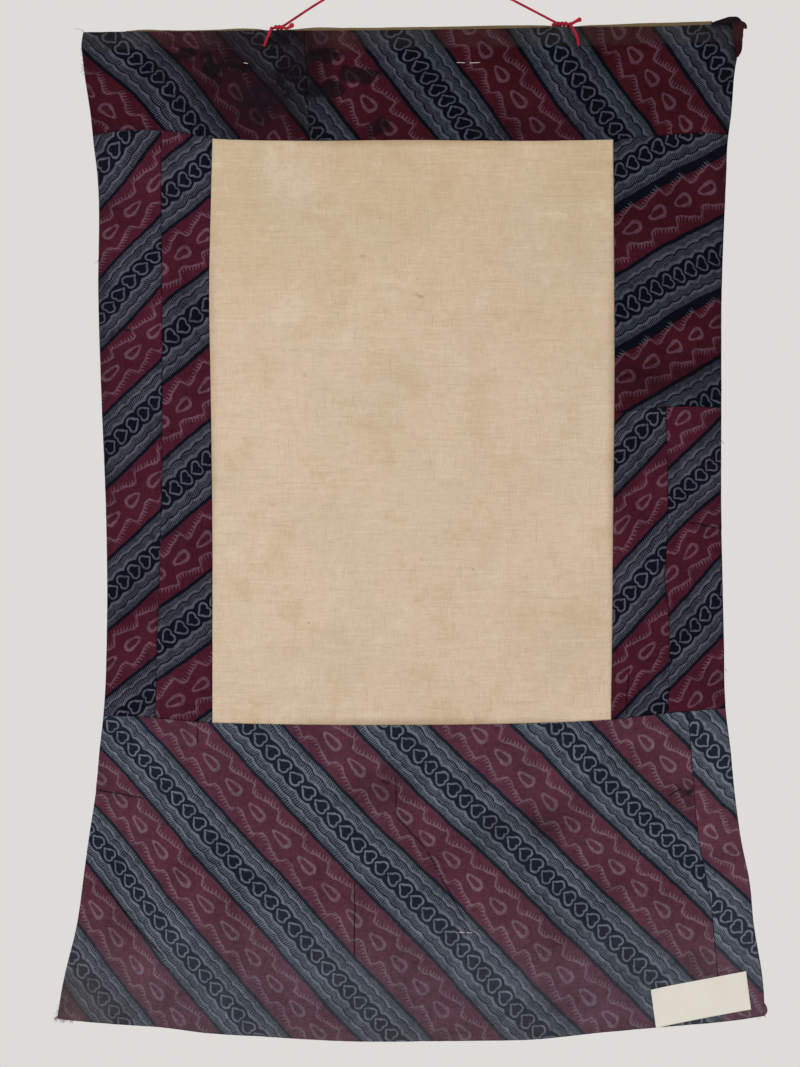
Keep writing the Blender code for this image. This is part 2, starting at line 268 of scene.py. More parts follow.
def finish_material(shader, colour, roughness, height=None, depth=0.0):
    """Wire colour, roughness and, through a Bump node, a height in metres into the shader."""
    tree = colour.tree
    tree.links.new(colour.socket, shader.inputs["Base Color"])
    if isinstance(roughness, Wire):
        tree.links.new(roughness.socket, shader.inputs["Roughness"])
    else:
        shader.inputs["Roughness"].default_value = roughness
    if height is not None:
        bump = height.make("ShaderNodeBump", None, {"Height": height, "Distance": depth, "Strength": 1.0})
        tree.links.new(bump.socket, shader.inputs["Normal"])
    shader.inputs["Specular IOR Level"].default_value = SPECULAR


pale, shader, place = start_material("pale_floor")
speckle = noise(place, 60.0).ramp(((0.3, (0.70, 0.69, 0.67)), (0.7, (0.73, 0.72, 0.70))))
finish_material(shader, speckle, 0.8)
floor.data.materials.append(pale)
print("shader maths ready")

# %% [markdown]
# ## The edges that the pieces share
# The cloth was cut by hand, so no edge is straight. Each edge is a short table read off the
# object, and a smooth curve runs through its rows. They are the CAD model's tables, so every
# thin cloth lies where its solid is. A row more beside each corner of the canvas straightens
# its top edge, where the solid's curve dips by up to 3 mm.

# %% Shared edges
def in_metres(*rows):
    """Numbers, or rows of numbers, that are written in millimetres."""
    return (np.array(rows) * MM).tolist()


# The drop, and x at the left and right side
SIDES = in_metres(
    (64, -273.5, 262.5), (71, -274.8, 267.8), (82, -276, 270.5), (91, -275.2, 270.2),
    (100, -274.2, 268.6), (140, -268.2, 265.2), (162, -265.8, 262.6), (188, -262.5, 261.6),
    (290, -261.2, 258), (384, -258, 257.4), (460, -255, 257), (575, -254.2, 259), (638, -257, 261.2),
    (668, -260.4, 265), (703, -263.6, 268.4), (750, -270.6, 275.2), (775, -273.8, 280.5),
    (812, -278.7, 284), (861, -289.8, 291.2), (892, -294.8, 293),
)
# x and drop along each edge that runs across
TOP_EDGE = in_metres((-274, 69.2), (-93, 68.8), (40, 67.2), (157, 65.8), (270, 64))
TOP_SEAM = in_metres(
    (-268, 155.8), (-246, 152.4), (-210, 151.8), (-185.8, 155), (-166, 158.6), (-160, 159), (0, 159.6),
    (160, 159.7), (168, 159.4), (215.8, 155.6), (244, 154), (264, 155.6),
)
LOW_SEAM = in_metres(
    (-258, 639.4), (-228, 640.2), (-197, 643), (-166, 645.4), (-150, 645.9), (-17.5, 647.4),
    (73, 646.4), (150, 643.8), (166, 642.8), (211, 637.6), (262, 633),
)
RIGHT_SEAM = in_metres((168, 388), (208, 382.6), (227, 381.8), (258, 383.2))
BOTTOM_EDGE = in_metres(
    (-295, 890.2), (-249, 895.3), (-209, 898.5), (-169, 904.3), (-108, 908.4), (7, 911.3), (91, 909.4),
    (152, 903.8), (204, 899.5), (269, 892.4), (294, 888),
)
# The drop and x along each edge that runs down
TOP_PANEL_SEAM = in_metres((65, -90), (159, -85))
CANVAS_LEFT = in_metres((159, -166.5), (290, -169.2), (375, -167.8), (500, -166.5), (646, -166.5))
CANVAS_RIGHT = in_metres((159, 167.6), (343, 168.6), (534, 167), (643, 165.8))
LEFT_STRIP_SEAM = in_metres((152, -209), (510, -210), (577, -212.5), (640, -214))
RIGHT_STRIP_SEAM = in_metres((382, 211.8), (495, 212.5), (522, 210.6), (558, 213.6), (637, 213.6))
GORE_SEAM = in_metres((634, 230), (678, 233.3), (740, 238.6), (798, 249.2), (835, 252.5), (893, 258))


def through(rows, value=1):
    """A smooth curve through a table's rows, as a function of its first column."""
    known_at = np.array([row[0] for row in rows])
    known = np.array([row[value] for row in rows])
    slope = np.gradient(known, known_at)

    def read(at):
        at = np.clip(at, known_at[0], known_at[-1])
        low = np.clip(np.searchsorted(known_at, at) - 1, 0, len(known_at) - 2)
        step = known_at[low + 1] - known_at[low]
        share = (at - known_at[low]) / step
        rise = known[low + 1] - known[low]
        bend_in = slope[low] * step - rise
        bend_out = rise - slope[low + 1] * step
        bend = share * (1 - share) * ((1 - share) * bend_in + share * bend_out)
        return known[low] + share * rise + bend

    return read


side_left, side_right = through(SIDES, 1), through(SIDES, 2)
top_edge, top_seam, low_seam = through(TOP_EDGE), through(TOP_SEAM), through(LOW_SEAM)
right_seam, hem = through(RIGHT_SEAM), through(BOTTOM_EDGE)
canvas_left, canvas_right = through(CANVAS_LEFT), through(CANVAS_RIGHT)
left_strips, right_strips = through(LEFT_STRIP_SEAM), through(RIGHT_STRIP_SEAM)
upright, gore_seam = through(TOP_PANEL_SEAM), through(GORE_SEAM)

PANELS = {
    "top_left_panel": (side_left, upright, top_edge, top_seam),
    "top_right_panel": (upright, side_right, top_edge, top_seam),
    "left_outer_strip": (side_left, left_strips, top_seam, low_seam),
    "left_inner_strip": (left_strips, canvas_left, top_seam, low_seam),
    "right_upper_panel": (canvas_right, side_right, top_seam, right_seam),
    "right_inner_strip": (canvas_right, right_strips, right_seam, low_seam),
    "right_outer_strip": (right_strips, side_right, right_seam, low_seam),
    "bottom_panel": (side_left, gore_seam, low_seam, hem),
    "gore_strip": (gore_seam, side_right, low_seam, hem),
}
CANVAS = (canvas_left, canvas_right, top_seam, low_seam)
print(f"{len(PANELS)} printed pieces round one canvas")

# %% [markdown]
# ## Folds
# A hung cloth is never flat. Its broad folds are soft hills and hollows: the draw under each
# tie, the rolled long sides, the slack canvas, and the flutes of the flared foot. Each is one
# Gaussian, given by its place, its turn, its half sizes and its depth. The CAD solids have
# the same ones. Fine creases, tucks and an all-over unevenness are added here.

# %% Folds
# Millimetres: x, drop, turn (degrees), half width, half length, depth (+ goes away from the viewer)
FOLDS = (
    (-117, 100, 0, 30, 75, -3), (137, 100, 0, 30, 75, -3), (10, 110, 0, 75, 80, 2.6),
    (-272, 100, 0, 34, 85, 4.5), (262, 100, 0, 30, 60, -3.5), (-262, 420, 0, 32, 190, -4.5),
    (262, 520, 0, 30, 130, -3.8), (245, 290, 0, 36, 90, 2.6), (0, 400, 0, 120, 190, -3.4),
    (-50, 250, 90, 30, 220, 1.3), (40, 345, 90, 34, 240, -1.4), (-30, 455, 92, 36, 250, 1.5),
    (30, 565, 88, 38, 260, -1.8), (-205, 800, 8, 40, 110, -5.2), (-125, 830, 4, 38, 120, 4.8),
    (-45, 800, 0, 34, 110, -3.4), (30, 850, -3, 44, 110, 4.4), (108, 830, -6, 42, 120, -4.6),
    (190, 790, -12, 38, 110, 3.6), (-292, 880, 40, 48, 90, -8), (292, 875, -38, 46, 80, -6),
)

# The same columns, for creases a few millimetres wide
CREASES = (
    (-47.5, 812, 0, 1.8, 34, 0.9), (-13.5, 708, 0, 1.4, 18, 0.8), (-2, 738, -35, 1.6, 20, 1),
    (15, 765, -24, 1.6, 22, 0.9), (34, 800, -28, 1.6, 22, 0.7), (-178.8, 656, 0, 1.2, 7, 0.8),
    (179.6, 621, 3, 1.3, 20, 1),
)

# Tucks, where the cloth is caught in a small step: both ends, and the step's height
TUCKS = in_metres(
    (-280, 697, -222.5, 708.3, 1.2), (229.2, 478.3, 270, 486.6, 1.1), (-245.8, 318.3, -232.5, 315.8, 1),
)
TUCK_STEEP = 0.0011
TUCK_REACH = 0.0080
TUCK_END = 0.0015
# Height, size of the lumps and seed
UNEVEN = ((0.00045, 0.034, 3), (0.00018, 0.013, 4))
LATTICE = 256
LATTICE_MIDDLE = (100.0, 20.0)


def hills(x, drop, rows):
    """The sum of a table's Gaussians, exp(-(across / half width)^2 - (along / half length)^2)."""
    x, drop = x / MM, drop / MM
    depth = np.zeros_like(x)
    for fold_x, fold_drop, turn, half_width, half_length, high in rows:
        turn = math.radians(turn)
        across = (x - fold_x) * math.cos(turn) + (drop - fold_drop) * math.sin(turn)
        along = (drop - fold_drop) * math.cos(turn) - (x - fold_x) * math.sin(turn)
        depth = depth + high * np.exp(-((across / half_width) ** 2) - (along / half_length) ** 2)
    return depth * MM


def tucks(x, drop):
    """Small steps: a hyperbolic tangent across each tuck's line that dies away on both sides."""
    depth = np.zeros_like(x)
    for x0, drop0, x1, drop1, high in TUCKS:
        length = math.hypot(x1 - x0, drop1 - drop0)
        ux, ud = (x1 - x0) / length, (drop1 - drop0) / length
        along = (x - x0) * ux + (drop - drop0) * ud
        across = (drop - drop0) * ux - (x - x0) * ud
        fade = np.exp(-((across / TUCK_REACH) ** 2))
        ends = 1 / (1 + np.exp(-(length / 2 - np.abs(along - length / 2)) / TUCK_END))
        depth = depth + high * np.tanh(across / TUCK_STEEP) * fade * ends
    return depth


def unevenness(x, drop, size, seed):
    """Value noise: random heights on a lattice of that size, blended by smooth steps."""
    heights = np.random.default_rng(seed).uniform(-1.0, 1.0, (LATTICE, LATTICE))
    u, v = x / size + LATTICE_MIDDLE[0], drop / size + LATTICE_MIDDLE[1]
    column, row = np.floor(u).astype(int), np.floor(v).astype(int)
    s, t = u - column, v - row
    s, t = s * s * (3 - 2 * s), t * t * (3 - 2 * t)
    column, row = column % (LATTICE - 1), row % (LATTICE - 1)
    top = heights[row, column] * (1 - s) + heights[row, column + 1] * s
    low = heights[row + 1, column] * (1 - s) + heights[row + 1, column + 1] * s
    return top * (1 - t) + low * t


def lumps(x, drop, rows):
    """Value noise summed over a table's rows of height, size and seed."""
    return sum(high * unevenness(x, drop, size, seed) for high, size, seed in rows)


def relief(x, drop):
    """How far the cloth's middle stands from a flat plane along Y."""
    return hills(x, drop, FOLDS) + hills(x, drop, CREASES) + tucks(x, drop) + lumps(x, drop, UNEVEN)


print(f"{len(FOLDS)} folds, {len(CREASES)} creases and {len(TUCKS)} tucks")

# %% [markdown]
# ## A thin cloth as a closed shell
# Each piece is a grid between its four edges, once for the back that we see and once for the
# front, joined round its rim. The rim is rounded off, which draws the fine dark line of a
# seam where two pieces meet. The front's rim is moved sideways a little, so the joint slants
# and no light comes through it.

# %% A thin cloth
RIM = 0.0012
RIM_ROWS = (0.0, 0.00025, 0.0007, 0.0013)
JOINT = 0.00012
SLANT = 0.0005
SETTLING = 12
PANEL_THICK = 0.0020


def stations(length, cell):
    """Distances along a length: close together in the rims, and a cell apart between them."""
    rim = np.array(RIM_ROWS)
    inner = np.linspace(rim[-1], length - rim[-1], max(2, round(length / cell)))
    return np.concatenate([rim[:-1], inner, length - rim[:-1][::-1]])


def between(edges, cell, shift=0.0):
    """Places x and drop that fill the space between four edges, and how far each is inside."""
    left, right, top, bottom = edges
    x, drop = 0.0, 0.0
    for _ in range(SETTLING):
        x, drop = (left(drop) + right(drop)) / 2, (top(x) + bottom(x)) / 2
    width, height = float(right(drop) - left(drop)), float(bottom(x) - top(x))
    across, down = np.meshgrid(stations(width, cell) / width, stations(height, cell) / height)
    x, drop = np.full_like(across, x), np.full_like(across, drop)
    for _ in range(SETTLING):
        x = (left(drop) + JOINT) * (1 - across) + (right(drop) - JOINT) * across + shift
        drop = (top(x) + JOINT) * (1 - down) + (bottom(x) - JOINT) * down + shift
    inside = np.minimum(np.minimum(across, 1 - across) * width, np.minimum(down, 1 - down) * height)
    return x, drop, inside


def swell(inside):
    """A rim's rounding, from 0 at the edge to 1 inside: a quarter circle of radius RIM."""
    share = 1 - np.clip(inside / RIM, 0.0, 1.0)
    return np.sqrt(1 - share**2)


def shell(name, back, front):
    """A closed mesh from two grids of points (rows, columns, 3), with quads round the rim."""
    rows, columns = back.shape[:2]
    index = np.arange(rows * columns).reshape(rows, columns)
    cells = np.stack([index[:-1, :-1], index[1:, :-1], index[1:, 1:], index[:-1, 1:]], -1).reshape(-1, 4)
    rim = np.concatenate([index[0, :-1], index[:-1, -1], index[-1, :0:-1], index[:0:-1, 0]])
    after = np.roll(rim, -1)
    deep = rows * columns
    walls = np.stack([rim, after, after + deep, rim + deep], -1)
    quads = np.concatenate([cells, walls, cells[:, ::-1] + deep])
    points = np.concatenate([back.reshape(-1, 3), front.reshape(-1, 3)])
    piece = built(name, points.tolist(), quads.tolist())
    piece.data["back_faces"] = len(cells) + len(walls)
    return piece


def paint(piece, back_material, front_material):
    """The back and rim get one material and the front another."""
    mesh = piece.data
    mesh.materials.append(back_material)
    mesh.materials.append(front_material)
    slots = np.zeros(len(mesh.polygons), dtype=np.int32)
    slots[mesh["back_faces"] :] = 1
    mesh.polygons.foreach_set("material_index", slots)


def keep(piece, name, values):
    """Store numbers or vectors on a mesh's points, for its material to read."""
    kind, field = ("FLOAT_VECTOR", "vector") if values.ndim == 2 else ("FLOAT", "value")
    data = piece.data.attributes.new(name, kind, "POINT").data
    data.foreach_set(field, values.ravel())


def stand_for(piece, node):
    """The finished piece rides on the root body and takes the CAD node's place."""
    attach(piece, "root")
    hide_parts(node)
    mesh = piece.data
    mesh.calc_loop_triangles()
    print(f"{piece.name}: {len(mesh.loop_triangles)} triangles")


print("shell ready")

# %% [markdown]
# ## The print, charted
# The cotton is a traditional stripe. A maroon band with a row of drops between two combs
# alternates with a navy band with a chain of hearts between hatched waves. Every piece was
# cut on a slant and stretched as it was sewn, so the stripes turn, fan and widen. To follow
# that, a few hearts and drops of each piece are charted: where they are, on which band, and
# which number along it. A thin-plate spline, the shape of a thin sheet bent through the
# charted points, then gives every point of the cloth its place in the print.

# %% The print's chart
BAND = 0.090
HEART = 0.013
PLATE_GIVE = 0.02
CHART_UNIT = 100

# x and drop in millimetres, the band (whole numbers are chains of hearts) and the heart
CHART = {
    "bottom_panel": (
        (-261, 744, 2, 5), (-191, 834, 2, 13), (-137, 899, 2, 19), (-250, 648, 1, 0),
        (-177, 729, 1, 8), (-128, 784, 1, 13), (-70, 850, 1, 19), (-18, 905, 1, 25), (-127, 659, 0, 7),
        (-55, 736, 0, 14), (-6, 785, 0, 19), (42, 835, 0, 24), (86, 884, 0, 29), (-13, 653, -1, 12),
        (34, 701, -1, 17), (84, 745, -1, 22), (140, 800, -1, 28), (199, 857, -1, 34),
        (120, 649, -2, 19), (166, 699, -2, 24), (241, 769, -2, 32), (-253, 813, 2.5, 9),
        (205, 672, -2.5, 25), (238, 830, -1.5, 35), (119, 846, -0.5, 29), (-200, 763, 1.5, 9),
        (-118, 733, 0.5, 11),
    ),
    "gore_strip": (
        (234, 651, 0, 0), (260, 679, 0, -3), (256, 743, -0.5, -7), (274, 757, -0.5, -9),
        (254, 799, -1, -10), (279, 824, -1, -13),
    ),
    "right_upper_panel": (
        (174, 186, 0, 5), (193, 173, 0, 7), (217, 160, 0, 9), (174, 239, 0.5, 3), (217, 214, 0.5, 7),
        (237, 205, 0.5, 9), (174, 303, 1, 0), (213, 278, 1, 4), (251, 259, 1, 8), (168, 363, 1.5, -3),
        (211, 338, 1.5, 1), (246, 316, 1.5, 5), (245, 379, 2, 2),
    ),
    "right_inner_strip": (
        (173, 423, 0, -3), (201, 392, 0, -6), (201, 453, 0.5, -3), (183, 471, 0.5, -1),
        (173, 547, 1, 3), (200, 516, 1, 0), (211, 504, 1, -1), (204, 577, 1.5, 3), (185, 597, 1.5, 5),
        (205, 634, 2, 6),
    ),
    "right_outer_strip": (
        (233, 415, -0.25, 3), (223, 455, 0, 0), (249, 432, 0, 3), (241, 493, 0.5, -1),
        (225, 511, 0.5, -3), (218, 583, 1, -7), (244, 556, 1, -4), (252, 544, 1, -3),
        (245, 616, 1.5, -7), (228, 634, 1.5, -9),
    ),
    "left_outer_strip": (
        (-256, 180, 0, -3), (-240, 156, 0, -5), (-224, 209, 0.5, -3), (-243, 229, 0.5, -1),
        (-252, 300, 1, 4), (-235, 277, 1, 2), (-215, 257, 1, 0), (-224, 330, 1.5, 5),
        (-242, 346, 1.5, 7), (-251, 415, 2, 11), (-214, 379, 2, 7), (-225, 453, 2.5, 11),
        (-242, 469, 2.5, 13), (-249, 536, 3, 17), (-213, 503, 3, 13), (-225, 573, 3.5, 17),
        (-243, 588, 3.5, 19), (-219, 623, 4, 19), (-231, 632, 4, 20),
    ),
    "left_inner_strip": (
        (-200, 202, 0, 0), (-172, 178, 0, 3), (-199, 260, 0.5, -3), (-181, 247, 0.5, -1),
        (-201, 324, 1, -6), (-170, 298, 1, -3), (-199, 388, 1.5, -9), (-179, 372, 1.5, -7),
        (-197, 450, 2, -12), (-171, 426, 2, -9), (-201, 515, 2.5, -15), (-181, 500, 2.5, -13),
        (-203, 574, 3, -18), (-173, 552, 3, -15), (-206, 633, 3.5, -21), (-185, 620, 3.5, -19),
    ),
    "top_left_panel": (
        (-252, 74, 0, 0), (-229, 94, 0, -2), (-211, 107, 0, -4), (-193, 131, 0, -6),
        (-176, 154, 0, -8), (-246, 143, -0.5, -5), (-177, 85, 0.5, -5), (-157, 108, 0.5, -7),
        (-139, 130, 0.5, -9), (-117, 88, 1, -8), (-97, 104, 1, -10), (-87, 157, 0.743, -13.6),
    ),
    "top_right_panel": (
        (-85, 106, -0.743, -0.4), (-80, 154, -1, 3), (-56, 100, -0.5, 1), (-43, 121, -0.5, 3),
        (-16, 70, 0, 0), (14, 108, 0, 4), (50, 155, 0, 9), (55, 77, 0.5, 3), (97, 139, 0.5, 9),
        (116, 77, 1, 6), (138, 111, 1, 9), (169, 151, 1, 13), (179, 81, 1.5, 9), (221, 138, 1.5, 15),
        (241, 76, 2, 12), (260, 106, 2, 15),
    ),
}


def bend_plate(x, drop, knots, values):
    """A thin plate through the knots: a plane plus weights times r^2 log r of each distance."""

    def pull(here, there):
        square = ((here[:, None, :] - there[None, :, :]) ** 2).sum(-1)
        return square * np.log(square + 1e-12) / 2

    count = len(knots)
    plane = np.column_stack([np.ones(count), knots])
    system = np.zeros((count + 3, count + 3))
    system[:count, :count] = pull(knots, knots) + PLATE_GIVE * np.eye(count)
    system[:count, count:] = plane
    system[count:, :count] = plane.T
    solved = np.linalg.solve(system, np.concatenate([values, np.zeros((3, values.shape[1]))]))
    here = np.column_stack([x.ravel(), drop.ravel()])
    weights, flat = solved[:count], solved[count:]
    return pull(here, knots) @ weights + flat[0] + here @ flat[1:]


def print_places(name, x, drop):
    """Where each point of a piece lies in the print: across its bands and along them, in metres."""
    chart = np.array(CHART[name])
    knots, values = chart[:, :2] / CHART_UNIT, chart[:, 2:]
    found = bend_plate(x / MM / CHART_UNIT, drop / MM / CHART_UNIT, knots, values)
    return np.column_stack([found[:, 0] * BAND, found[:, 1] * HEART, np.zeros(len(found))])


print(f"{sum(len(rows) for rows in CHART.values())} charted places on {len(CHART)} pieces")

# %% [markdown]
# ## The printed cotton's finish
# The design is drawn by sums on the print's two coordinates, in millimetres, with h the
# distance from the nearest chain of hearts and m = 45 - h the distance from the nearest row
# of drops. Hearts and drops are curves of radius against angle, kept in ramps. A little
# noise on both coordinates gives the unsteady line of a block print. Wear, damp, dust and
# grime come from two more attributes, which noise breaks into uneven spots.
# Painted shade darkens the creases and the mouths of tucks.

# %% Printed cotton
WEAVE = 0.0011
LOOSE_SCALE, LOOSE_SIZE = 90.0, 0.0012
YARN_FINE, YARN_STREAK = 1400.0, 120.0
THREAD_DEEP = 0.00022
CREASE_SHAKE = ((120.0, 0.0022),)
CREASE_CORE, CREASE_ENDS = 0.3, (-0.004, 0.001)

# Radius against angle, and the comb's back along one step: each from 0 to 1
HEART_CURVE = (
    (0.0, 0.37), (0.08, 0.45), (0.17, 0.53), (0.28, 0.58), (0.39, 0.59), (0.5, 0.54), (0.67, 0.43),
    (0.83, 0.42), (0.93, 0.49), (1.0, 0.59),
)
DROP_CURVE = (
    (0.0, 0.47), (0.25, 0.44), (0.5, 0.37), (0.67, 0.39), (0.78, 0.48), (0.86, 0.62), (0.93, 0.84),
    (1.0, 1.1),
)
COMB_CURVE = (
    (0.0, 0.455), (0.1, 0.45), (0.22, 0.5), (0.36, 0.6), (0.5, 0.655), (0.62, 0.69), (0.73, 0.755),
    (0.8, 0.765), (0.86, 0.69), (0.91, 0.56), (0.95, 0.48), (1.0, 0.455),
)
# In millimetres: the steps of the repeats, half the width of each line, and the shapes' sizes
BAND_STEP, HEART_STEP, STROKE_STEP, DROP_STEP, TOOTH_STEP = 90.0, 13.0, 1.625, 26.0, 2.8
HEART_LINE, WAVE_LINE, STROKE_LINE, DROP_LINE, COMB_LINE = 0.82, 0.62, 0.45, 1.40, 0.75
SHAPE_SIZE, COMB_SIZE, DROP_AT, INK_SOFT = 10.0, 20.0, 13.5, 0.55
# The hatched strip beside the hearts: how far its edge, wave and outer part swing, and where they are
INNER_SWING, WAVE_SWING, OUTER_SWING = 2.1, 1.7, 1.2
STRIP_FROM, STRIP_TO, WAVE_AT, STROKE_LEAN = (6.2, 6.8), (21.2, 21.8), 13.9, 0.12
INNER_HATCH, HATCH_TO_WAVE, OUTER_HATCH = (8.6, 9.0), (-1.0, -0.6), (16.7, 17.1)
# The comb's teeth: their lean, taper, width and length, and where its back is thick and steep
TOOTH_LEAN, TOOTH_TAPER, TOOTH_SIDE, TOOTH_TIP = 0.5, 0.17, (0.66, 1.14), (3.6, 4.8)
STEEP_AT, STEEP_WIDE, STEEP_SOFT, COMB_STEEP = 0.89, 0.06, 0.08, 0.7
NAVY_EDGE = (23.9, 24.5)

# Sharp creases and the mouths of tucks, sunk in the bump and darkened as painted shade: both ends (x and
# drop) and half the width
CREASE_LINES = in_metres(
    (-280, 698.5, -222.5, 708.3, 0.9), (-178.8, 648, -178.6, 664, 0.8), (-47.5, 776, -48, 841, 0.7),
    (-13.3, 690, -13.3, 723.3, 0.6), (-13.3, 723.3, 12.5, 751.7, 0.9), (12.5, 751.7, 22.5, 771.7, 0.9),
    (22.5, 771.7, 45, 811.7, 0.7), (229.2, 478.3, 270, 486.6, 0.9), (180.8, 601.7, 178.3, 640.8, 0.9),
    (-245.8, 316.7, -232.5, 319.2, 0.9), (213.3, 707.5, 225, 699.2, 0.7),
    (222.3, 709.2, 232.3, 702.5, 0.7), (-256.7, 780, -231, 811, 1), (-231, 811, -207.5, 838, 1.2),
)

# The print's inks as screen colours, at three stages of how faded the cloth is
STAGES = (0.0, 0.4, 1.0)
INKS = {
    "maroon": ((48, 10, 17), (69, 26, 40), (82, 46, 59)),
    "navy": ((2, 5, 13), (13, 14, 28), (27, 32, 45)),
    "light on maroon": ((74, 49, 58), (98, 69, 84), (106, 86, 96)),
    "light on navy": ((61, 67, 78), (80, 82, 94), (99, 107, 119)),
}


def ink(name, faded):
    """An ink's colour where the cloth is as faded as the wire says."""
    return faded.ramp([(stage, tint(*shade)) for stage, shade in zip(STAGES, INKS[name])])


def polar(along, aside, curve):
    """How far a point is outside a shape given as radius against angle from the +along axis."""
    radius = (along * along + aside * aside).math("SQRT")
    angle = aside.math("ARCTAN2", along) / math.pi
    return radius - angle.ramp(curve) * SHAPE_SIZE


def light_ink(across, along):
    """The print's light parts, as a mask from 0 to 1, at places in millimetres."""
    h = abs(across.wrap(BAND_STEP))
    m = BAND_STEP / 2 - h
    heart_at = along.wrap(HEART_STEP)
    hearts = polar(heart_at, h, HEART_CURVE).within(HEART_LINE, INK_SOFT)
    aside = heart_at / (HEART_STEP / 2)
    swing = 1.0 - aside * aside
    inner = h - swing * INNER_SWING
    wave = h - swing * WAVE_SWING - WAVE_AT
    outer = h - swing * OUTER_SWING
    strip = inner.rise(*STRIP_FROM) * (1.0 - h.rise(*STRIP_TO))
    strokes = (along + h * STROKE_LEAN).wrap(STROKE_STEP).within(STROKE_LINE, INK_SOFT)
    hatched = inner.rise(*INNER_HATCH) * (1.0 - wave.rise(*HATCH_TO_WAVE)) | outer.rise(*OUTER_HATCH)
    strip = strip * (1.0 - (hatched * strokes | wave.within(WAVE_LINE, INK_SOFT)))
    share = ((along - DROP_STEP / 2) / DROP_STEP).math("FRACT")
    drops = polar(share * DROP_STEP - DROP_AT, m, DROP_CURVE).within(DROP_LINE, INK_SOFT)
    above = m - share.ramp(COMB_CURVE) * COMB_SIZE
    tooth = abs((along + above * TOOTH_LEAN).wrap(TOOTH_STEP)) + above * TOOTH_TAPER
    teeth = (1.0 - tooth.rise(*TOOTH_SIDE)) * above.rise(-0.2, 0.2) * (1.0 - above.rise(*TOOTH_TIP))
    thick = abs(above) - COMB_LINE - (share - STEEP_AT).within(STEEP_WIDE, STEEP_SOFT) * COMB_STEEP
    comb = 1.0 - thick.rise(-0.3, 0.3) | teeth
    return hearts | strip | drops | comb


def weave(place, pitch):
    """The height of a plain weave: threads over and under, cos(x) cos(z), a little uneven."""
    loose = noise(place, LOOSE_SCALE, 1.0) * LOOSE_SIZE
    x = (place.part(0) + loose) * (2 * math.pi / pitch)
    z = (place.part(2) + loose) * (2 * math.pi / pitch)
    return x.math("COSINE") * z.math("COSINE")


def threads(place):
    """Uneven threads both ways: streaks of noise, long along the warp and along the weft."""
    warp = noise(stretch(place, (YARN_FINE, YARN_FINE, YARN_STREAK)), 1.0)
    weft = noise(stretch(place, (YARN_STREAK, YARN_FINE, YARN_FINE)), 1.0)
    return (warp + weft) * 0.5


def creased(place):
    """1 on the lines of the table CREASE_LINES and 0 away from them, by the distance to each."""
    x, z = unsteady(place.part(0), place, CREASE_SHAKE), place.part(2)
    found = None
    for x0, drop0, x1, drop1, half in CREASE_LINES:
        length = math.hypot(x1 - x0, drop1 - drop0)
        ux, uz = (x1 - x0) / length, (drop0 - drop1) / length
        along = (x - x0) * ux + (z + drop0) * uz
        across = (x - x0) * uz - (z + drop0) * ux
        beyond = abs(along - length / 2) - length / 2
        line = (1.0 - abs(across).rise(half * CREASE_CORE, half)) * (1.0 - beyond.rise(*CREASE_ENDS))
        found = line if found is None else found | line
    return found


def make_print():
    """The printed cotton: its design, worn and stained by the attributes state and dull, with painted
    shade in its creases.
    """
    material, shader, place = start_material("printed_cotton")
    at, state = kept(place, "print"), kept(place, "state")
    wear, damp, dust = (state.part(index) for index in range(3))
    dull = kept(place, "dull", "Fac")
    mirrored = stretch(place, (1.0, 1.0, -1.0))
    across = unsteady(at.part(0) / MM, place, ((40.0, 3.2), (260.0, 1.5)))
    along = unsteady(at.part(1) / MM, mirrored, ((33.0, 4.4), (240.0, 1.6)))
    wrapped = across.wrap(BAND_STEP)
    edge = at.part(2) / MM * wrapped.rise(-0.1, 0.1)
    navy = 1.0 - (abs(wrapped) - edge).rise(*NAVY_EDGE)
    patchy = noise(place, 160.0, 3.0, 0.6).rise(0.30, 0.56)
    light = light_ink(across, along) * (patchy * 0.45 + 0.55)
    faded = wear + (noise(place, 14.0, 3.0) - 0.5) * 0.3
    dark = blend(navy, ink("maroon", faded), ink("navy", faded))
    pale = blend(navy, ink("light on maroon", faded), ink("light on navy", faded))
    cloud = noise(place, 75.0, 5.0, 0.65) - 0.5
    crease_and_shade = creased(place)
    layers = (
        # A blue-grey haze laid over the print, stronger towards the bottom.
        (place.part(2).rise(-0.77, -0.88) * 0.17, (104, 106, 116)),
        (dust * (noise(place, 70.0) + 0.1), (66, 60, 54)),
        ((dull + cloud * 0.7) * dull.rise(0.0, 0.2), (21, 14, 20)),
        ((damp + cloud * damp.rise(0.0, 0.15) * 1.7).rise(0.38, 0.58) * 0.80, (13, 11, 14)),
        # Painted shade: the crease lines and the mouths of tucks are darkened in the colour.
        (crease_and_shade * 0.75, (20, 14, 18)),
    )
    yarn = threads(place)
    bright = unsteady((yarn - 0.5) * 1.3, place, ((330.0, 0.7), (30.0, 0.8)))
    bright = bright + wear.rise(1.0, 1.2) * 0.14 + 1.0
    colour = brightened(layered(blend(light, dark, pale), layers), bright)
    height = weave(place, WEAVE) * 0.25 + yarn - crease_and_shade * 3.0
    finish_material(shader, colour, yarn * 0.1 + 0.86, height, THREAD_DEEP)
    return material


def make_plain(name, dark, light, pitch=WEAVE, grain=1.0):
    """A plain cloth in two close colours, with its weave."""
    material, shader, place = start_material(name)
    yarn = threads(place)
    mottle = noise(place, 22.0, 4.0, 0.6) * 0.6 + (yarn - 0.5) * grain + 0.2
    height = weave(place, pitch) * 0.3 + yarn
    finish_material(shader, blend(mottle, tint(*dark), tint(*light)), 0.88, height, THREAD_DEEP)
    return material


printed = make_print()
front_cloth = make_plain("front_cloth", (84, 70, 52), (122, 105, 78))
heading_cloth = make_plain("heading_cloth", (82, 68, 48), (132, 114, 84))
print("printed cotton ready")
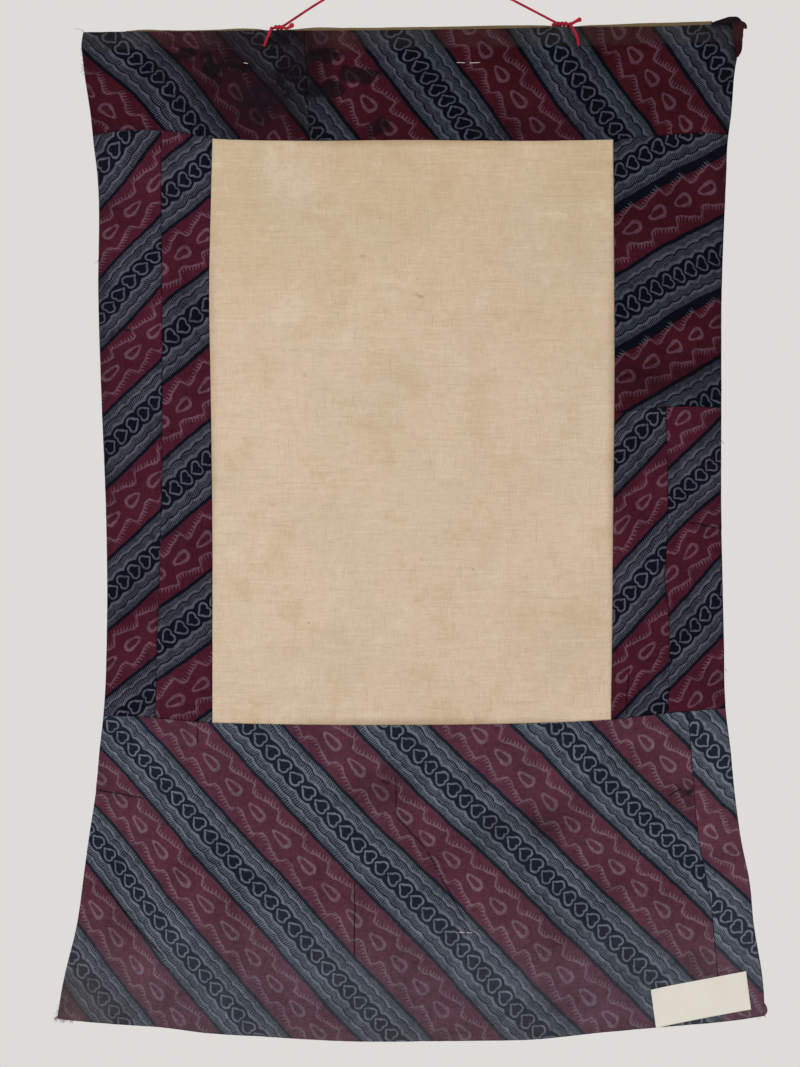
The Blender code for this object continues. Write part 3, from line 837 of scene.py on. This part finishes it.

# %% [markdown]
# ## The printed pieces
# Each piece gets its grid, its folds and its three attributes. The pieces across the top have
# the rod pocket: a rounded ridge, ended by a stitch line. Along every seam the thread drew
# the cloth in, which leaves small puckers.

# %% The printed pieces
CELL = 0.0022
POCKET_DEEP = 0.015
POCKET_RISE = 0.0016
STITCH_DROP = 0.0012
GROOVE_DEEP = 0.00035
POCKET_DUST = 0.30
PUCKER_DEEP = 0.00045
PUCKER_WIDE = 0.0055
PUCKERS = ((1.0, 0.0075, 9), (0.6, 0.0038, 10))
FLAT_CELL = 0.01
EDGE_LINE = 0.0050
PLAIN_NAVY, PLAIN_MAROON = 0.0228, 0.0256
MAROON_FROM = 0.2665

# How faded each piece is: 0 is fresh, 1 is faded, and above that it is bleached as well
WEAR = {
    "top_left_panel": 0.16,
    "top_right_panel": 0.08,
    "left_outer_strip": 0.36,
    "left_inner_strip": 0.36,
    "right_upper_panel": 0.14,
    "right_inner_strip": 0.36,
    "right_outer_strip": 0.33,
    "bottom_panel": 0.90,
    "gore_strip": 1.20,
}

# Black damp spots, in millimetres: x, drop, half width, half height, and how strong
STAINS = (
    (-186, 89, 30, 7, 0.72), (-166, 100, 16, 11, 0.68), (-140, 100, 16, 8, 0.55),
    (-74, 90, 17, 7, 0.95), (-46, 105, 20, 8, 1.0), (-70, 118, 18, 9, 0.9), (-28, 149, 12, 10, 0.8),
    (-112, 78, 18, 10, 0.75), (-105, 110, 12, 26, 0.62), (228, 705, 12, 8, 0.4),
    (-16, 695, 16, 12, 0.42),
)

# Broad dark patches, with the same columns
DULL = (
    (-150, 95, 50, 38, 0.8), (-125, 125, 42, 36, 0.95), (-98, 95, 24, 50, 0.85),
    (100, 152, 60, 10, 0.35), (205, 360, 60, 18, 0.28), (-262, 400, 12, 300, 0.28),
    (262, 350, 10, 300, 0.28), (255, 62, 12, 6, 0.9), (268, 60, 7, 6, 0.9), (268, 88, 6, 10, 0.8),
    (256, 74, 14, 12, 0.4), (105, 730, 24, 18, 0.35), (66, 735, 26, 20, 0.28), (-22, 697, 30, 20, 0.32),
    (222, 704, 16, 12, 0.3),
)

# Grey dust, besides that on the rod pocket
DUST = (
    (-165, 74, 55, 7, 0.5), (-65, 74, 30, 7, 0.55), (-284, 870, 30, 30, 0.9), (-256, 885, 34, 18, 0.6),
    (-20, 905, 180, 8, 0.3), (238, 845, 10, 8, 0.5),
)


def spots(x, drop, rows):
    """The strongest of a table's soft spots at each place."""
    x, drop = x / MM, drop / MM
    strength = np.zeros_like(x)
    for spot_x, spot_drop, half_wide, half_tall, strong in rows:
        spread = ((x - spot_x) / half_wide) ** 2 + ((drop - spot_drop) / half_tall) ** 2
        strength = np.maximum(strength, strong * np.exp(-spread))
    return strength


def pocket(x, drop):
    """The rod pocket's bulge, ended by the groove in which its stitches lie."""
    below = drop - top_edge(x)
    share = np.clip(below / POCKET_DEEP, 0.0, 1.0)
    groove = np.exp(-(((below - POCKET_DEEP) / STITCH_DROP) ** 2))
    return POCKET_RISE * np.sqrt(np.sin(math.pi * share)) - GROOVE_DEEP * groove


def pucker(x, drop, inside):
    """Seam puckers: uneven ripples that die away from a sheet's edge."""
    return PUCKER_DEEP * lumps(x, drop, PUCKERS) * np.exp(-((inside / PUCKER_WIDE) ** 2))


def cloth(name, edges, cell, thick, lies):
    """A hung sheet: lies(x, drop) is its middle along Y, and its rims are rounded and puckered."""
    sides = []
    for shift, side in ((0.0, -1), (SLANT, 1)):
        x, drop, inside = between(edges, cell, shift)
        y = lies(x, drop) + pucker(x, drop, inside) + side * thick / 2 * swell(inside)
        sides.append(np.stack([x, y, -drop], -1))
    return shell(name, *sides)


def flat_size(edges):
    """How wide and how long a flat piece of cloth each sheet was cut from."""
    x, drop, _ = between(edges, FLAT_CELL)
    return float(np.ptp(x, axis=1).max()), float(np.ptp(drop, axis=0).max())


def places(piece):
    """x and drop of each of a piece's points."""
    found = np.empty(len(piece.data.vertices) * 3)
    piece.data.vertices.foreach_get("co", found)
    return found[0::3], -found[2::3]


def dress(piece, name, plain=False):
    """Give a printed piece its place in the print and its state; a roll is plain, navy then maroon."""
    x, drop = places(piece)
    place = print_places(name, x, drop)
    if plain:
        place[:, 0] = np.where(x < MAROON_FROM, PLAIN_NAVY, PLAIN_MAROON)
    place[:, 2] = EDGE_LINE if name == "right_upper_panel" else 0.0
    dust = np.maximum(POCKET_DUST * (drop < top_edge(x) + POCKET_DEEP), spots(x, drop, DUST))
    keep(piece, "print", place)
    keep(piece, "dull", spots(x, drop, DULL))
    keep(piece, "state", np.column_stack([np.full(len(x), WEAR[name]), spots(x, drop, STAINS), dust]))


def hung(piece, node, edges):
    stand_for(piece, node)
    wide, long = flat_size(edges)


for name, edges in PANELS.items():
    bulge = 1.0 if name.startswith("top_") else 0.0

    def panel_lies(x, drop):
        """The middle of a printed piece's thickness."""
        return relief(x, drop) - bulge * pocket(x, drop)

    piece = cloth(f"{name}_cloth", edges, CELL, PANEL_THICK, panel_lies)
    paint(piece, printed, front_cloth)
    dress(piece, name)
    hung(piece, name, edges)

# %% [markdown]
# ## The canvas
# The picture's ground is a thin cream cotton, bare and uneven on the back. It is slack in its
# window, so it takes the soft waves that rolling left in it. Its colour is mixed from cloudy
# stains, thicker threads here and there, and a few specks. The picture's side, which
# doesn't show, is a plain pale ground.
# Painted shade darkens the canvas towards its top.

# %% The canvas
CANVAS_THICK = 0.0012
CANVAS_WEAVE, CANVAS_DEEP = 0.0010, 0.00018


def make_canvas():
    """Cream cotton: blotches, thick threads and specks over a plain weave, and painted shade at its top.
    """
    material, shader, place = start_material("canvas")
    yarn = threads(place)
    cloud = noise(place, 6.0, 5.0, 0.62)
    blotch = noise(place, 24.0, 5.0, 0.7)
    streak = noise(stretch(place, (22.0, 60.0, 330.0)), 1.0, 3.0, 0.6)
    warm = noise(stretch(place, (-1.0, 1.0, 0.6)), 9.0, 3.0, 0.6).rise(0.38, 0.62)
    grey = noise(stretch(place, (1.0, 1.0, -1.4)), 7.0, 3.0, 0.6).rise(0.48, 0.66)
    slub = noise(stretch(place, (26.0, 900.0, 620.0)), 1.0, 1.0).rise(0.66, 0.74)
    slubs = slub | noise(stretch(place, (620.0, 900.0, 30.0)), 1.0, 1.0).rise(0.67, 0.75)
    cell = place.make("ShaderNodeTexVoronoi", None, {"Vector": place, "Scale": 34.0}, "Distance")
    speck = (1.0 - cell.rise(0.018, 0.034)) * noise(place, 19.0, 1.0).rise(0.5, 0.6)
    damp = kept(place, "state").part(1)
    layers = (
        (warm * 0.30, (217, 188, 166)),
        (grey * 0.45, (196, 183, 160)),
        (cloud.rise(0.58, 0.34) * 0.30, (195, 175, 144)),
        (blotch.rise(0.50, 0.66) * 0.42, (190, 166, 132)),
        (blotch.rise(0.46, 0.34) * 0.26, (222, 209, 188)),
        (streak.rise(0.52, 0.70) * 0.20, (222, 207, 184)),
        (streak.rise(0.48, 0.30) * 0.18, (188, 166, 136)),
        ((damp + (cloud - 0.5) * 0.5).rise(0.1, 0.9) * 0.8, (150, 122, 92)),
        (slubs * 0.16, (176, 150, 118)),
        (speck * 0.6, (120, 92, 66)),
    )
    # Painted shade: the ground is darker towards the canvas's top.
    colour = blend(place.part(2).rise(-0.17, -0.40), tint(196, 176, 146), tint(209, 190, 166))
    colour = brightened(layered(colour, layers), (yarn - 0.5) * 0.55 + 1.0)
    height = weave(place, CANVAS_WEAVE) * 0.3 + yarn + slubs * 0.5
    finish_material(shader, colour, 0.92, height, CANVAS_DEEP)
    return material


# Stains along the canvas's edges, then spots: the columns of STAINS
CANVAS_STAINS = (
    (0, 160, 170, 6, 0.55), (0, 646, 170, 6, 0.6), (-168, 400, 6, 250, 0.5), (168, 400, 6, 250, 0.55),
    (-41, 257, 4, 2, 0.55), (7, 291, 4, 2, 0.7), (-89, 356, 3, 3, 0.5), (4, 288, 2, 2, 0.5),
    (8, 509, 2, 2, 0.6),
)

canvas_back = make_canvas()
canvas_front = make_plain("picture_ground", (202, 192, 172), (222, 213, 195), CANVAS_WEAVE, 0.4)
canvas = cloth("canvas_cloth", CANVAS, CELL, CANVAS_THICK, relief)
paint(canvas, canvas_back, canvas_front)
x, drop = places(canvas)
keep(canvas, "state", np.column_stack([0 * x, spots(x, drop, CANVAS_STAINS), 0 * x]))
hung(canvas, "canvas", CANVAS)

# %% [markdown]
# ## The heading
# Behind the top panels the front cloth's turned edge stands a few millimetres above them. It
# is a coarse olive-brown cloth with a wavy fold along its top, pulled down at both ties. It
# lies as a sheet of its own behind the rod pocket.

# %% The heading
HEADING_THICK = 0.0014
HEADING_TUCK = 0.016
HEADING_BEHIND = 0.0007
HEADING_CELL = 0.0020
# x and drop along its wavy fold
HEADING_TOP = in_metres(
    (-239, 68.1), (-222.8, 67.1), (-207.6, 67.6), (-188.3, 67.9), (-167.5, 67.6), (-146.8, 66.7),
    (-133, 66.8), (-121.5, 68.2), (-117, 69), (-112.5, 68), (-104, 67.6), (-95.7, 67), (-85, 65.9),
    (-53, 65.7), (15, 64.6), (107, 64), (134, 65.2), (148, 64.2), (174, 62.7), (250, 60.7),
)

heading_top = through(HEADING_TOP)
heading_edges = (
    lambda drop: HEADING_TOP[0][0] + 0 * drop,
    lambda drop: HEADING_TOP[-1][0] + 0 * drop,
    heading_top,
    lambda x: top_edge(x) + HEADING_TUCK,
)


def heading_lies(x, drop):
    """Behind the top panels by half of both thicknesses and a small gap."""
    return relief(x, drop) + (PANEL_THICK + HEADING_THICK) / 2 + HEADING_BEHIND


heading = cloth("heading_cloth", heading_edges, HEADING_CELL, HEADING_THICK, heading_lies)
paint(heading, heading_cloth, heading_cloth)
hung(heading, "heading_band", heading_edges)

# %% [markdown]
# ## The paper label
# A slip of blank cream paper is stuck over the lower right corner, tilted. It is a thin
# sheet that follows the folds under it, and its own corners lift by a hair.

# %% The label
LABEL_WIDE, LABEL_TALL = 0.0800, 0.0320
LABEL_X, LABEL_DROP = 0.2402, 0.8754
LABEL_TILT = math.radians(12.3)
LABEL_SKEW = math.radians(7.5)
LABEL_THICK = 0.0005
LABEL_OFF = 0.00045
LABEL_CURL = 0.0012
LABEL_COLUMNS, LABEL_ROWS = 81, 33

across, down = np.meshgrid(np.linspace(-0.5, 0.5, LABEL_COLUMNS), np.linspace(-0.5, 0.5, LABEL_ROWS))
x = LABEL_X + across * LABEL_WIDE * math.cos(LABEL_TILT) + down * LABEL_TALL * math.sin(LABEL_SKEW)
drop = LABEL_DROP + down * LABEL_TALL * math.cos(LABEL_SKEW) - across * LABEL_WIDE * math.sin(LABEL_TILT)
lift = LABEL_CURL * np.abs(across * down * 4) ** 3
y = relief(x, drop) - PANEL_THICK / 2 - LABEL_OFF - lift
faces = [np.stack([x, y + side * LABEL_THICK / 2, -drop], -1) for side in (-1, 1)]
label = shell("label_paper", *faces)

paper, shader, place = start_material("paper")
pulp = noise(place, 70.0, 5.0, 0.65)
finish_material(shader, blend(pulp, tint(221, 217, 206), tint(229, 226, 217)), 0.72, pulp, 0.0001)
paint(label, paper, paper)
stand_for(label, "label")

# %% [markdown]
# ## Cords, knots and threads
# Everything long and round is a tube: rings of points square to a route, with domed ends. The
# red cord is a round braid, so its rings swell where strands cross. A knot is a core with a
# coil wound tightly round it, and its free end swells a little, as a cut cord does.

# %% Tubes
ROUTE_STEP = 0.0006
DOME = 0.6
COIL_CORNERS = 20
BRAID_STRANDS, BRAID_TURN = 2, 950.0
BRAID_LOW, BRAID_HIGH = 0.93, 0.09
CORD_SIDES, COIL_SIDES = 16, 14


def smooth_route(rows, step=ROUTE_STEP):
    """Points a step apart on a smooth curve through rows of x, y, drop and what else they hold."""
    rows = np.array(rows, dtype=float)
    chord = np.concatenate([[0.0], np.cumsum(np.linalg.norm(np.diff(rows[:, :3], axis=0), axis=1))])
    at = np.linspace(0.0, chord[-1], max(3, round(chord[-1] / step) + 1))
    table = np.column_stack([chord, rows])
    return np.column_stack([through(table, column)(at) for column in range(1, table.shape[1])])


def tube(route, radii, sides, square_to, swelling=None):
    """Points and faces of a tube: p = c + r (n cos a + b sin a), with n and b square to the route."""
    centre = route[:, :3] * (1, 1, -1)
    ahead = np.gradient(centre, axis=0)
    ahead /= np.linalg.norm(ahead, axis=1, keepdims=True)
    side = np.array(square_to, dtype=float) - (ahead @ np.array(square_to, dtype=float))[:, None] * ahead
    side /= np.linalg.norm(side, axis=1, keepdims=True)
    other = np.cross(ahead, side)
    angle = np.arange(sides) * 2 * math.pi / sides
    far = np.concatenate([[0.0], np.cumsum(np.linalg.norm(np.diff(centre, axis=0), axis=1))])
    radius = np.broadcast_to(radii, len(centre))[:, None] * np.ones(sides)
    if swelling is not None:
        radius = radius * swelling(angle[None, :], far[:, None])
    rings = centre[:, None] + radius[..., None] * (
        side[:, None] * np.cos(angle)[:, None] + other[:, None] * np.sin(angle)[:, None]
    )
    ends = [centre[0] - ahead[0] * radius[0, 0] * DOME, centre[-1] + ahead[-1] * radius[-1, 0] * DOME]
    index = np.arange(len(centre) * sides).reshape(len(centre), sides)
    turned = np.roll(index, -1, axis=1)
    quads = np.stack([index[:-1], turned[:-1], turned[1:], index[1:]], -1).reshape(-1, 4).tolist()
    first, last = index.size, index.size + 1
    caps = [(first, b, a) for a, b in zip(index[0].tolist(), turned[0].tolist())]
    caps += [(last, a, b) for a, b in zip(index[-1].tolist(), turned[-1].tolist())]
    return np.concatenate([rings.reshape(-1, 3), ends]), quads + caps


def joined(name, tubes, material):
    """One object from several tubes."""
    points, faces, count = [], [], 0
    for tube_points, tube_faces in tubes:
        points.append(tube_points)
        faces += [[corner + count for corner in face] for face in tube_faces]
        count += len(tube_points)
    piece = built(name, np.concatenate(points).tolist(), faces)
    piece.data.materials.append(material)
    return piece


def coil(start, end, turns, radius):
    """A helix round the line from start to end."""
    share = np.linspace(0.0, 1.0, round(turns * COIL_CORNERS) + 1)[:, None]
    start, end = np.array(start), np.array(end)
    ahead = (end - start) / np.linalg.norm(end - start)
    side = np.cross(ahead, (0.0, 1.0, 0.0))
    turn = share * turns * 2 * math.pi
    round_it = side * np.cos(turn) + np.cross(ahead, side) * np.sin(turn)
    return start + (end - start) * share + radius * round_it


def braid(angle, far):
    """A round braid's swelling, where strands of both directions lie uppermost in turn."""
    one = np.abs(np.cos(BRAID_STRANDS * angle + far * BRAID_TURN))
    two = np.abs(np.cos(BRAID_STRANDS * angle - far * BRAID_TURN))
    return BRAID_LOW + BRAID_HIGH * np.maximum(one, two)


print("tubes ready")

# %% [markdown]
# ## The red cord
# One length of braided cord runs from the left tie over its peak and down to the right tie.
# Each tie is a loop over the top edge and down both faces to its hole, with a knot and a short
# free end above it.

# %% The red cord
CORD_THICK = 0.0020
LOOP_THICK = 0.0024
LOOP_CLEAR = 0.0002
COIL_WIDE = 0.0012
COIL_STRAND = 0.0011
PATH_STEP = 0.0060
# x, y and drop along the cord
CORD_ROUTE = in_metres(
    (-107.8, -0.8, 65.6), (-80, 0.8, 46.8), (-50, 0.8, 29.1), (-25, 0.4, 14.1), (-10, 0, 4.9),
    (-4.5, 0, 2.2), (0, 0, 1.2), (4.5, 0, 2.1), (10, 0, 4.6), (30, 0.4, 15), (60, 0.8, 30.6),
    (90, 1, 46.2), (121.2, -0.8, 63),
)
# x and drop of the hole, then of the place where the loop goes over the top, and its bow
TIES = {
    "left_loop": in_metres(-122.6, 83.2, -117, 69, -0.2),
    "right_loop": in_metres(138.4, 82.6, 131.6, 65.2, 1.6),
}
# x, y, drop and radius along each knot and its free end
KNOTS = {
    "left_knot": in_metres(
        (-116.6, -0.6, 67.2, 1), (-113, -1.2, 66.4, 1.2), (-109.5, -1.4, 66, 1.4),
        (-106.6, -1.8, 66.8, 1.2), (-104.5, -3, 67.6, 1.1), (-102.4, -3.4, 66.9, 1.3),
        (-100.4, -3.4, 65.5, 1.9), (-99.2, -3.4, 64.6, 2),
    ),
    "right_knot": in_metres(
        (116.8, -0.6, 64, 1.1), (120, -1, 63.8, 1.5), (124.5, -1.4, 63.5, 1.6),
        (128.5, -1.6, 63.8, 1.5), (131.2, -2, 64, 1.3), (134, -2.6, 63, 1.3), (136.8, -3, 61.5, 1.4),
        (139, -3, 60.5, 1.8), (140.1, -3, 60.1, 2),
    ),
}
# Where each knot's coil starts and ends, and its turns
COILS = {
    "left_knot": (*in_metres((-113.6, -1.2, -66.6), (-107.2, -1.4, -66.4)), 2.1),
    "right_knot": (*in_metres((118.6, -1, -63.8), (129.8, -1.6, -63.7)), 3.6),
}

red_cord, shader, place = start_material("red_cord")
strand = noise(place, 420.0, 2.0)
dull = noise(place, 60.0, 2.0).rise(0.35, 0.65)
red = blend(dull * 0.6 + strand * 0.4, tint(188, 34, 58), tint(116, 28, 46))
finish_material(shader, red, 0.62, strand, 0.0002)


def braided(name, *tubes):
    """A piece of the red cord in its CAD node's place."""
    piece = joined(f"{name}_braid", tubes, red_cord)
    stand_for(piece, name)
    return piece


cord_tube = tube(smooth_route(CORD_ROUTE), CORD_THICK / 2, CORD_SIDES, (0, 1, 0), braid)
cord_piece = braided("hanging_cord", cord_tube)
cord_points = smooth_route(CORD_ROUTE, PATH_STEP) * (1, 1, -1)

for name, (hole_x, hole_drop, over_x, over_drop, bow) in TIES.items():
    radius = LOOP_THICK / 2
    x = np.array([hole_x, (hole_x + over_x) / 2 + bow, over_x])
    drop = np.array([hole_drop, (hole_drop + over_drop) / 2, over_drop])
    back = hills(x, drop, FOLDS) - PANEL_THICK / 2 - POCKET_RISE - LOOP_CLEAR - radius
    front = hills(x, drop, FOLDS) + PANEL_THICK / 2 + HEADING_BEHIND + HEADING_THICK + LOOP_CLEAR + radius
    crest = over_drop - LOOP_CLEAR - radius
    over = [(x[2], back[2] + share * (front[2] - back[2]), crest) for share in (0.25, 0.75)]
    corners = [*zip(x, back, drop), *over, *zip(x[::-1], front[::-1], drop[::-1])]
    braided(name, tube(smooth_route(corners), radius, CORD_SIDES, (1, 0, 0), braid))

for name, rows in KNOTS.items():
    core = smooth_route(rows)
    wound = coil(*COILS[name], COIL_WIDE) * (1, 1, -1)
    ring = tube(wound, COIL_STRAND, COIL_SIDES, (1, 0.2, 0), braid)
    braided(name, tube(core, core[:, 3], CORD_SIDES, (0, 1, 0), braid), ring)

# %% [markdown]
# ## The gathered corner
# At the top right the printed cloth was bunched and rolled over itself: a thin roll from the
# heading's end, a knob, and a roll down the edge. A small roll is at the lower right corner
# too. All are tubes whose radius is creased by waves that run slantwise, as in rolled cloth.

# %% The gathered corner
ROLL_SIDES = 40
ROLL_MEAN, SLOW_HIGH, FAST_HIGH, SWAY = 0.94, 0.13, 0.06, 0.8
SLOW_TURN, FAST_TURN, SWAY_TURN = 210.0, 330.0, 400.0
# x, y, drop and radius along each roll
CORNER_ROLL = in_metres(
    (250, -0.8, 63.4, 1.2), (255.6, -1.4, 62.8, 2.2), (260.8, -2, 62, 3), (264.6, -2.6, 62, 4.6),
    (268.6, -3.2, 63, 5.4), (271.2, -3.6, 66.8, 5.2), (270.8, -4, 72.2, 4.5), (271, -4.2, 77.5, 3.8),
    (271.2, -4, 82.6, 3.2), (271, -3.4, 87.2, 2.6), (270.4, -3, 91, 1.6),
)
# The knob's twisted tip, and the small roll at the lower right corner
CORNER_TIP = in_metres(
    (269.6, -3.6, 66.4, 4.2), (273.4, -4, 65.4, 3.6), (276.4, -3.8, 66.2, 2.3), (278, -3.6, 67.8, 0.9),
)
LOW_ROLL = in_metres(
    (288, -4, 887.2, 1.4), (290.8, -5, 886.6, 2.4), (292.6, -5.6, 884.6, 2.8),
    (292.8, -5.6, 881.6, 2.2), (292.2, -5, 878.6, 1.2),
)


def gathers(angle, far):
    """Slanting creases in a roll of cloth, as a factor on its radius."""
    slow = np.cos(3 * angle + far * SLOW_TURN + SWAY * np.sin(far * SWAY_TURN))
    fast = np.cos(5 * angle - far * FAST_TURN)
    return ROLL_MEAN + SLOW_HIGH * slow + FAST_HIGH * fast


def cloth_roll(rows):
    """A roll of cloth along a table's rows."""
    roll = smooth_route(rows)
    return tube(roll, roll[:, 3], ROLL_SIDES, (0, 1, 0), gathers)


bunch = joined("corner_bunch_cloth", [cloth_roll(CORNER_ROLL), cloth_roll(CORNER_TIP)], printed)
dress(bunch, "top_right_panel", plain=True)
stand_for(bunch, "corner_bunch")
low_roll = joined("low_corner_roll", [cloth_roll(LOW_ROLL)], printed)
dress(low_roll, "gore_strip", plain=True)
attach(low_roll, "root")

# %% [markdown]
# ## Stitches and loose threads
# A running stitch closes the rod pocket, and a few longer white stitches and a mark of thread
# show on the cloth. At the corners and along the cut edges single yarns have worked loose.
# All are thin tubes in three objects, one for each colour of thread.

# %% Stitches and loose threads
RUNNING_FROM, RUNNING_TO = -0.262, 0.256
RUNNING_STEP = 0.0052
RUNNING_LONG = 0.0030
RUNNING_UNEVEN = ((0.0008, 0.004, 5),)
THREAD = 0.00028
STITCH_RISE, STITCH_SUNK = 0.0004, 0.00015
YARN = 0.00016
YARN_RISE, YARN_ASIDE, YARN_TAPER = 0.0012, 0.4, 0.4
SHORT_POINTS, STITCH_SIDES, YARN_SIDES = 9, 6, 5
FIBRE = 0.00014
FIBRE_LONG, FIBRE_VARIES, FIBRE_LEAN, FIBRE_BOW = 0.0020, 0.0012, 0.7, 0.0004

# Both ends of each white stitch: x and drop
WHITE_STITCHES = in_metres(
    (-140, 96.2, -136.6, 97), (37.5, 95.2, 44, 95.5), (48, 95.6, 56.7, 95.3), (39.2, 820.8, 44, 820.6),
    (45.8, 820.8, 50, 821),
)
# Loose yarns: a start, an end, and how far the middle bows down (+) or up
LOOSE = in_metres(
    (-273.5, 69, -281.5, 67.5, -1.6), (-261, 260, -264.2, 263, 0.6), (257.5, 410, 260.4, 414, 0.8),
    (-274, 101, -276.6, 104.2, -0.6), (260, 600, 262.2, 603, 0.6),
)
# Worn edges: both ends, which way the fibres point (x and drop), and how many there are
FRAYS = (
    (-294.8, 890.5, -289, 874, -1.0, 0.3, 64), (-294.8, 890.5, -280, 892, -0.3, 1.0, 30),
    (-275, 82, -273.5, 105, -1.0, 0.2, 22), (293.5, 887, 285, 889, 0.2, 1.0, 10),
)


def stitch(x0, drop0, x1, drop1):
    """A stitch: a short thread that rises from the cloth and goes back into it."""
    share = np.linspace(0.0, 1.0, SHORT_POINTS)
    x, drop = x0 + (x1 - x0) * share, drop0 + (drop1 - drop0) * share
    rise = STITCH_RISE * np.sin(math.pi * share) - STITCH_SUNK
    y = relief(x, drop) - pocket(x, drop) - PANEL_THICK / 2 - rise
    return tube(np.column_stack([x, y, drop]), THREAD, STITCH_SIDES, (0, 1, 0))


def loose_yarn(x0, drop0, x1, drop1, bow, radius=YARN):
    """A bent yarn that leaves the cloth's edge."""
    share = np.linspace(0.0, 1.0, SHORT_POINTS)
    x = x0 + (x1 - x0) * share + bow * np.sin(math.pi * share) * YARN_ASIDE
    drop = drop0 + (drop1 - drop0) * share + bow * np.sin(math.pi * share)
    y = relief(np.full_like(x, x0), np.full_like(x, drop0)) - YARN_RISE * share**2
    return tube(np.column_stack([x, y, drop]), radius * (1 - YARN_TAPER * share), YARN_SIDES, (0, 1, 0))


def worn_edge(x0, drop0, x1, drop1, out_x, out_drop, count, draws):
    """Short fibres that stand out of an edge in uneven directions."""
    x0, drop0, x1, drop1 = in_metres(x0, drop0, x1, drop1)
    fibres = []
    for share, size, turn, lean in draws.uniform(-1, 1, (count, 4)).tolist():
        share = share / 2 + 0.5
        x, drop = x0 + (x1 - x0) * share, drop0 + (drop1 - drop0) * share
        far = FIBRE_LONG + FIBRE_VARIES * size
        end_x = x + (out_x - FIBRE_LEAN * turn * out_drop) * far
        end_drop = drop + (out_drop + FIBRE_LEAN * turn * out_x) * far
        fibres.append(loose_yarn(x, drop, end_x, end_drop, FIBRE_BOW * lean, FIBRE))
    return fibres


def thread_material(name, dark, light, roughness):
    """A thread in two close colours."""
    material, shader, place = start_material(name)
    finish_material(shader, blend(noise(place, 300.0), tint(*dark), tint(*light)), roughness)
    return material


starts = np.arange(RUNNING_FROM, RUNNING_TO, RUNNING_STEP)
starts = starts + lumps(starts, 0.0, RUNNING_UNEVEN)
running = []
for start in starts.tolist():
    ends = [(x, float(top_edge(x)) + POCKET_DEEP) for x in (start, start + RUNNING_LONG)]
    running.append(stitch(*ends[0], *ends[1]))
draws = np.random.default_rng(12)
worn = [fibres for row in FRAYS for fibres in worn_edge(*row, draws)]
dark_thread = thread_material("dark_thread", (36, 25, 29), (64, 51, 52), 0.85)
white_thread = thread_material("white_thread", (186, 176, 164), (226, 218, 206), 0.85)
worn_fibre = thread_material("worn_fibre", (96, 84, 84), (150, 140, 134), 0.9)
dark = joined("dark_threads", running + [loose_yarn(*row) for row in LOOSE], dark_thread)
white = joined("white_stitches", [stitch(*row) for row in WHITE_STITCHES], white_thread)
frayed = joined("frayed_edges", worn, worn_fibre)
for piece in (dark, white, frayed):
    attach(piece, "root")
print(f"{len(running)} running stitches, {len(WHITE_STITCHES)} white ones and {len(worn)} loose fibres")
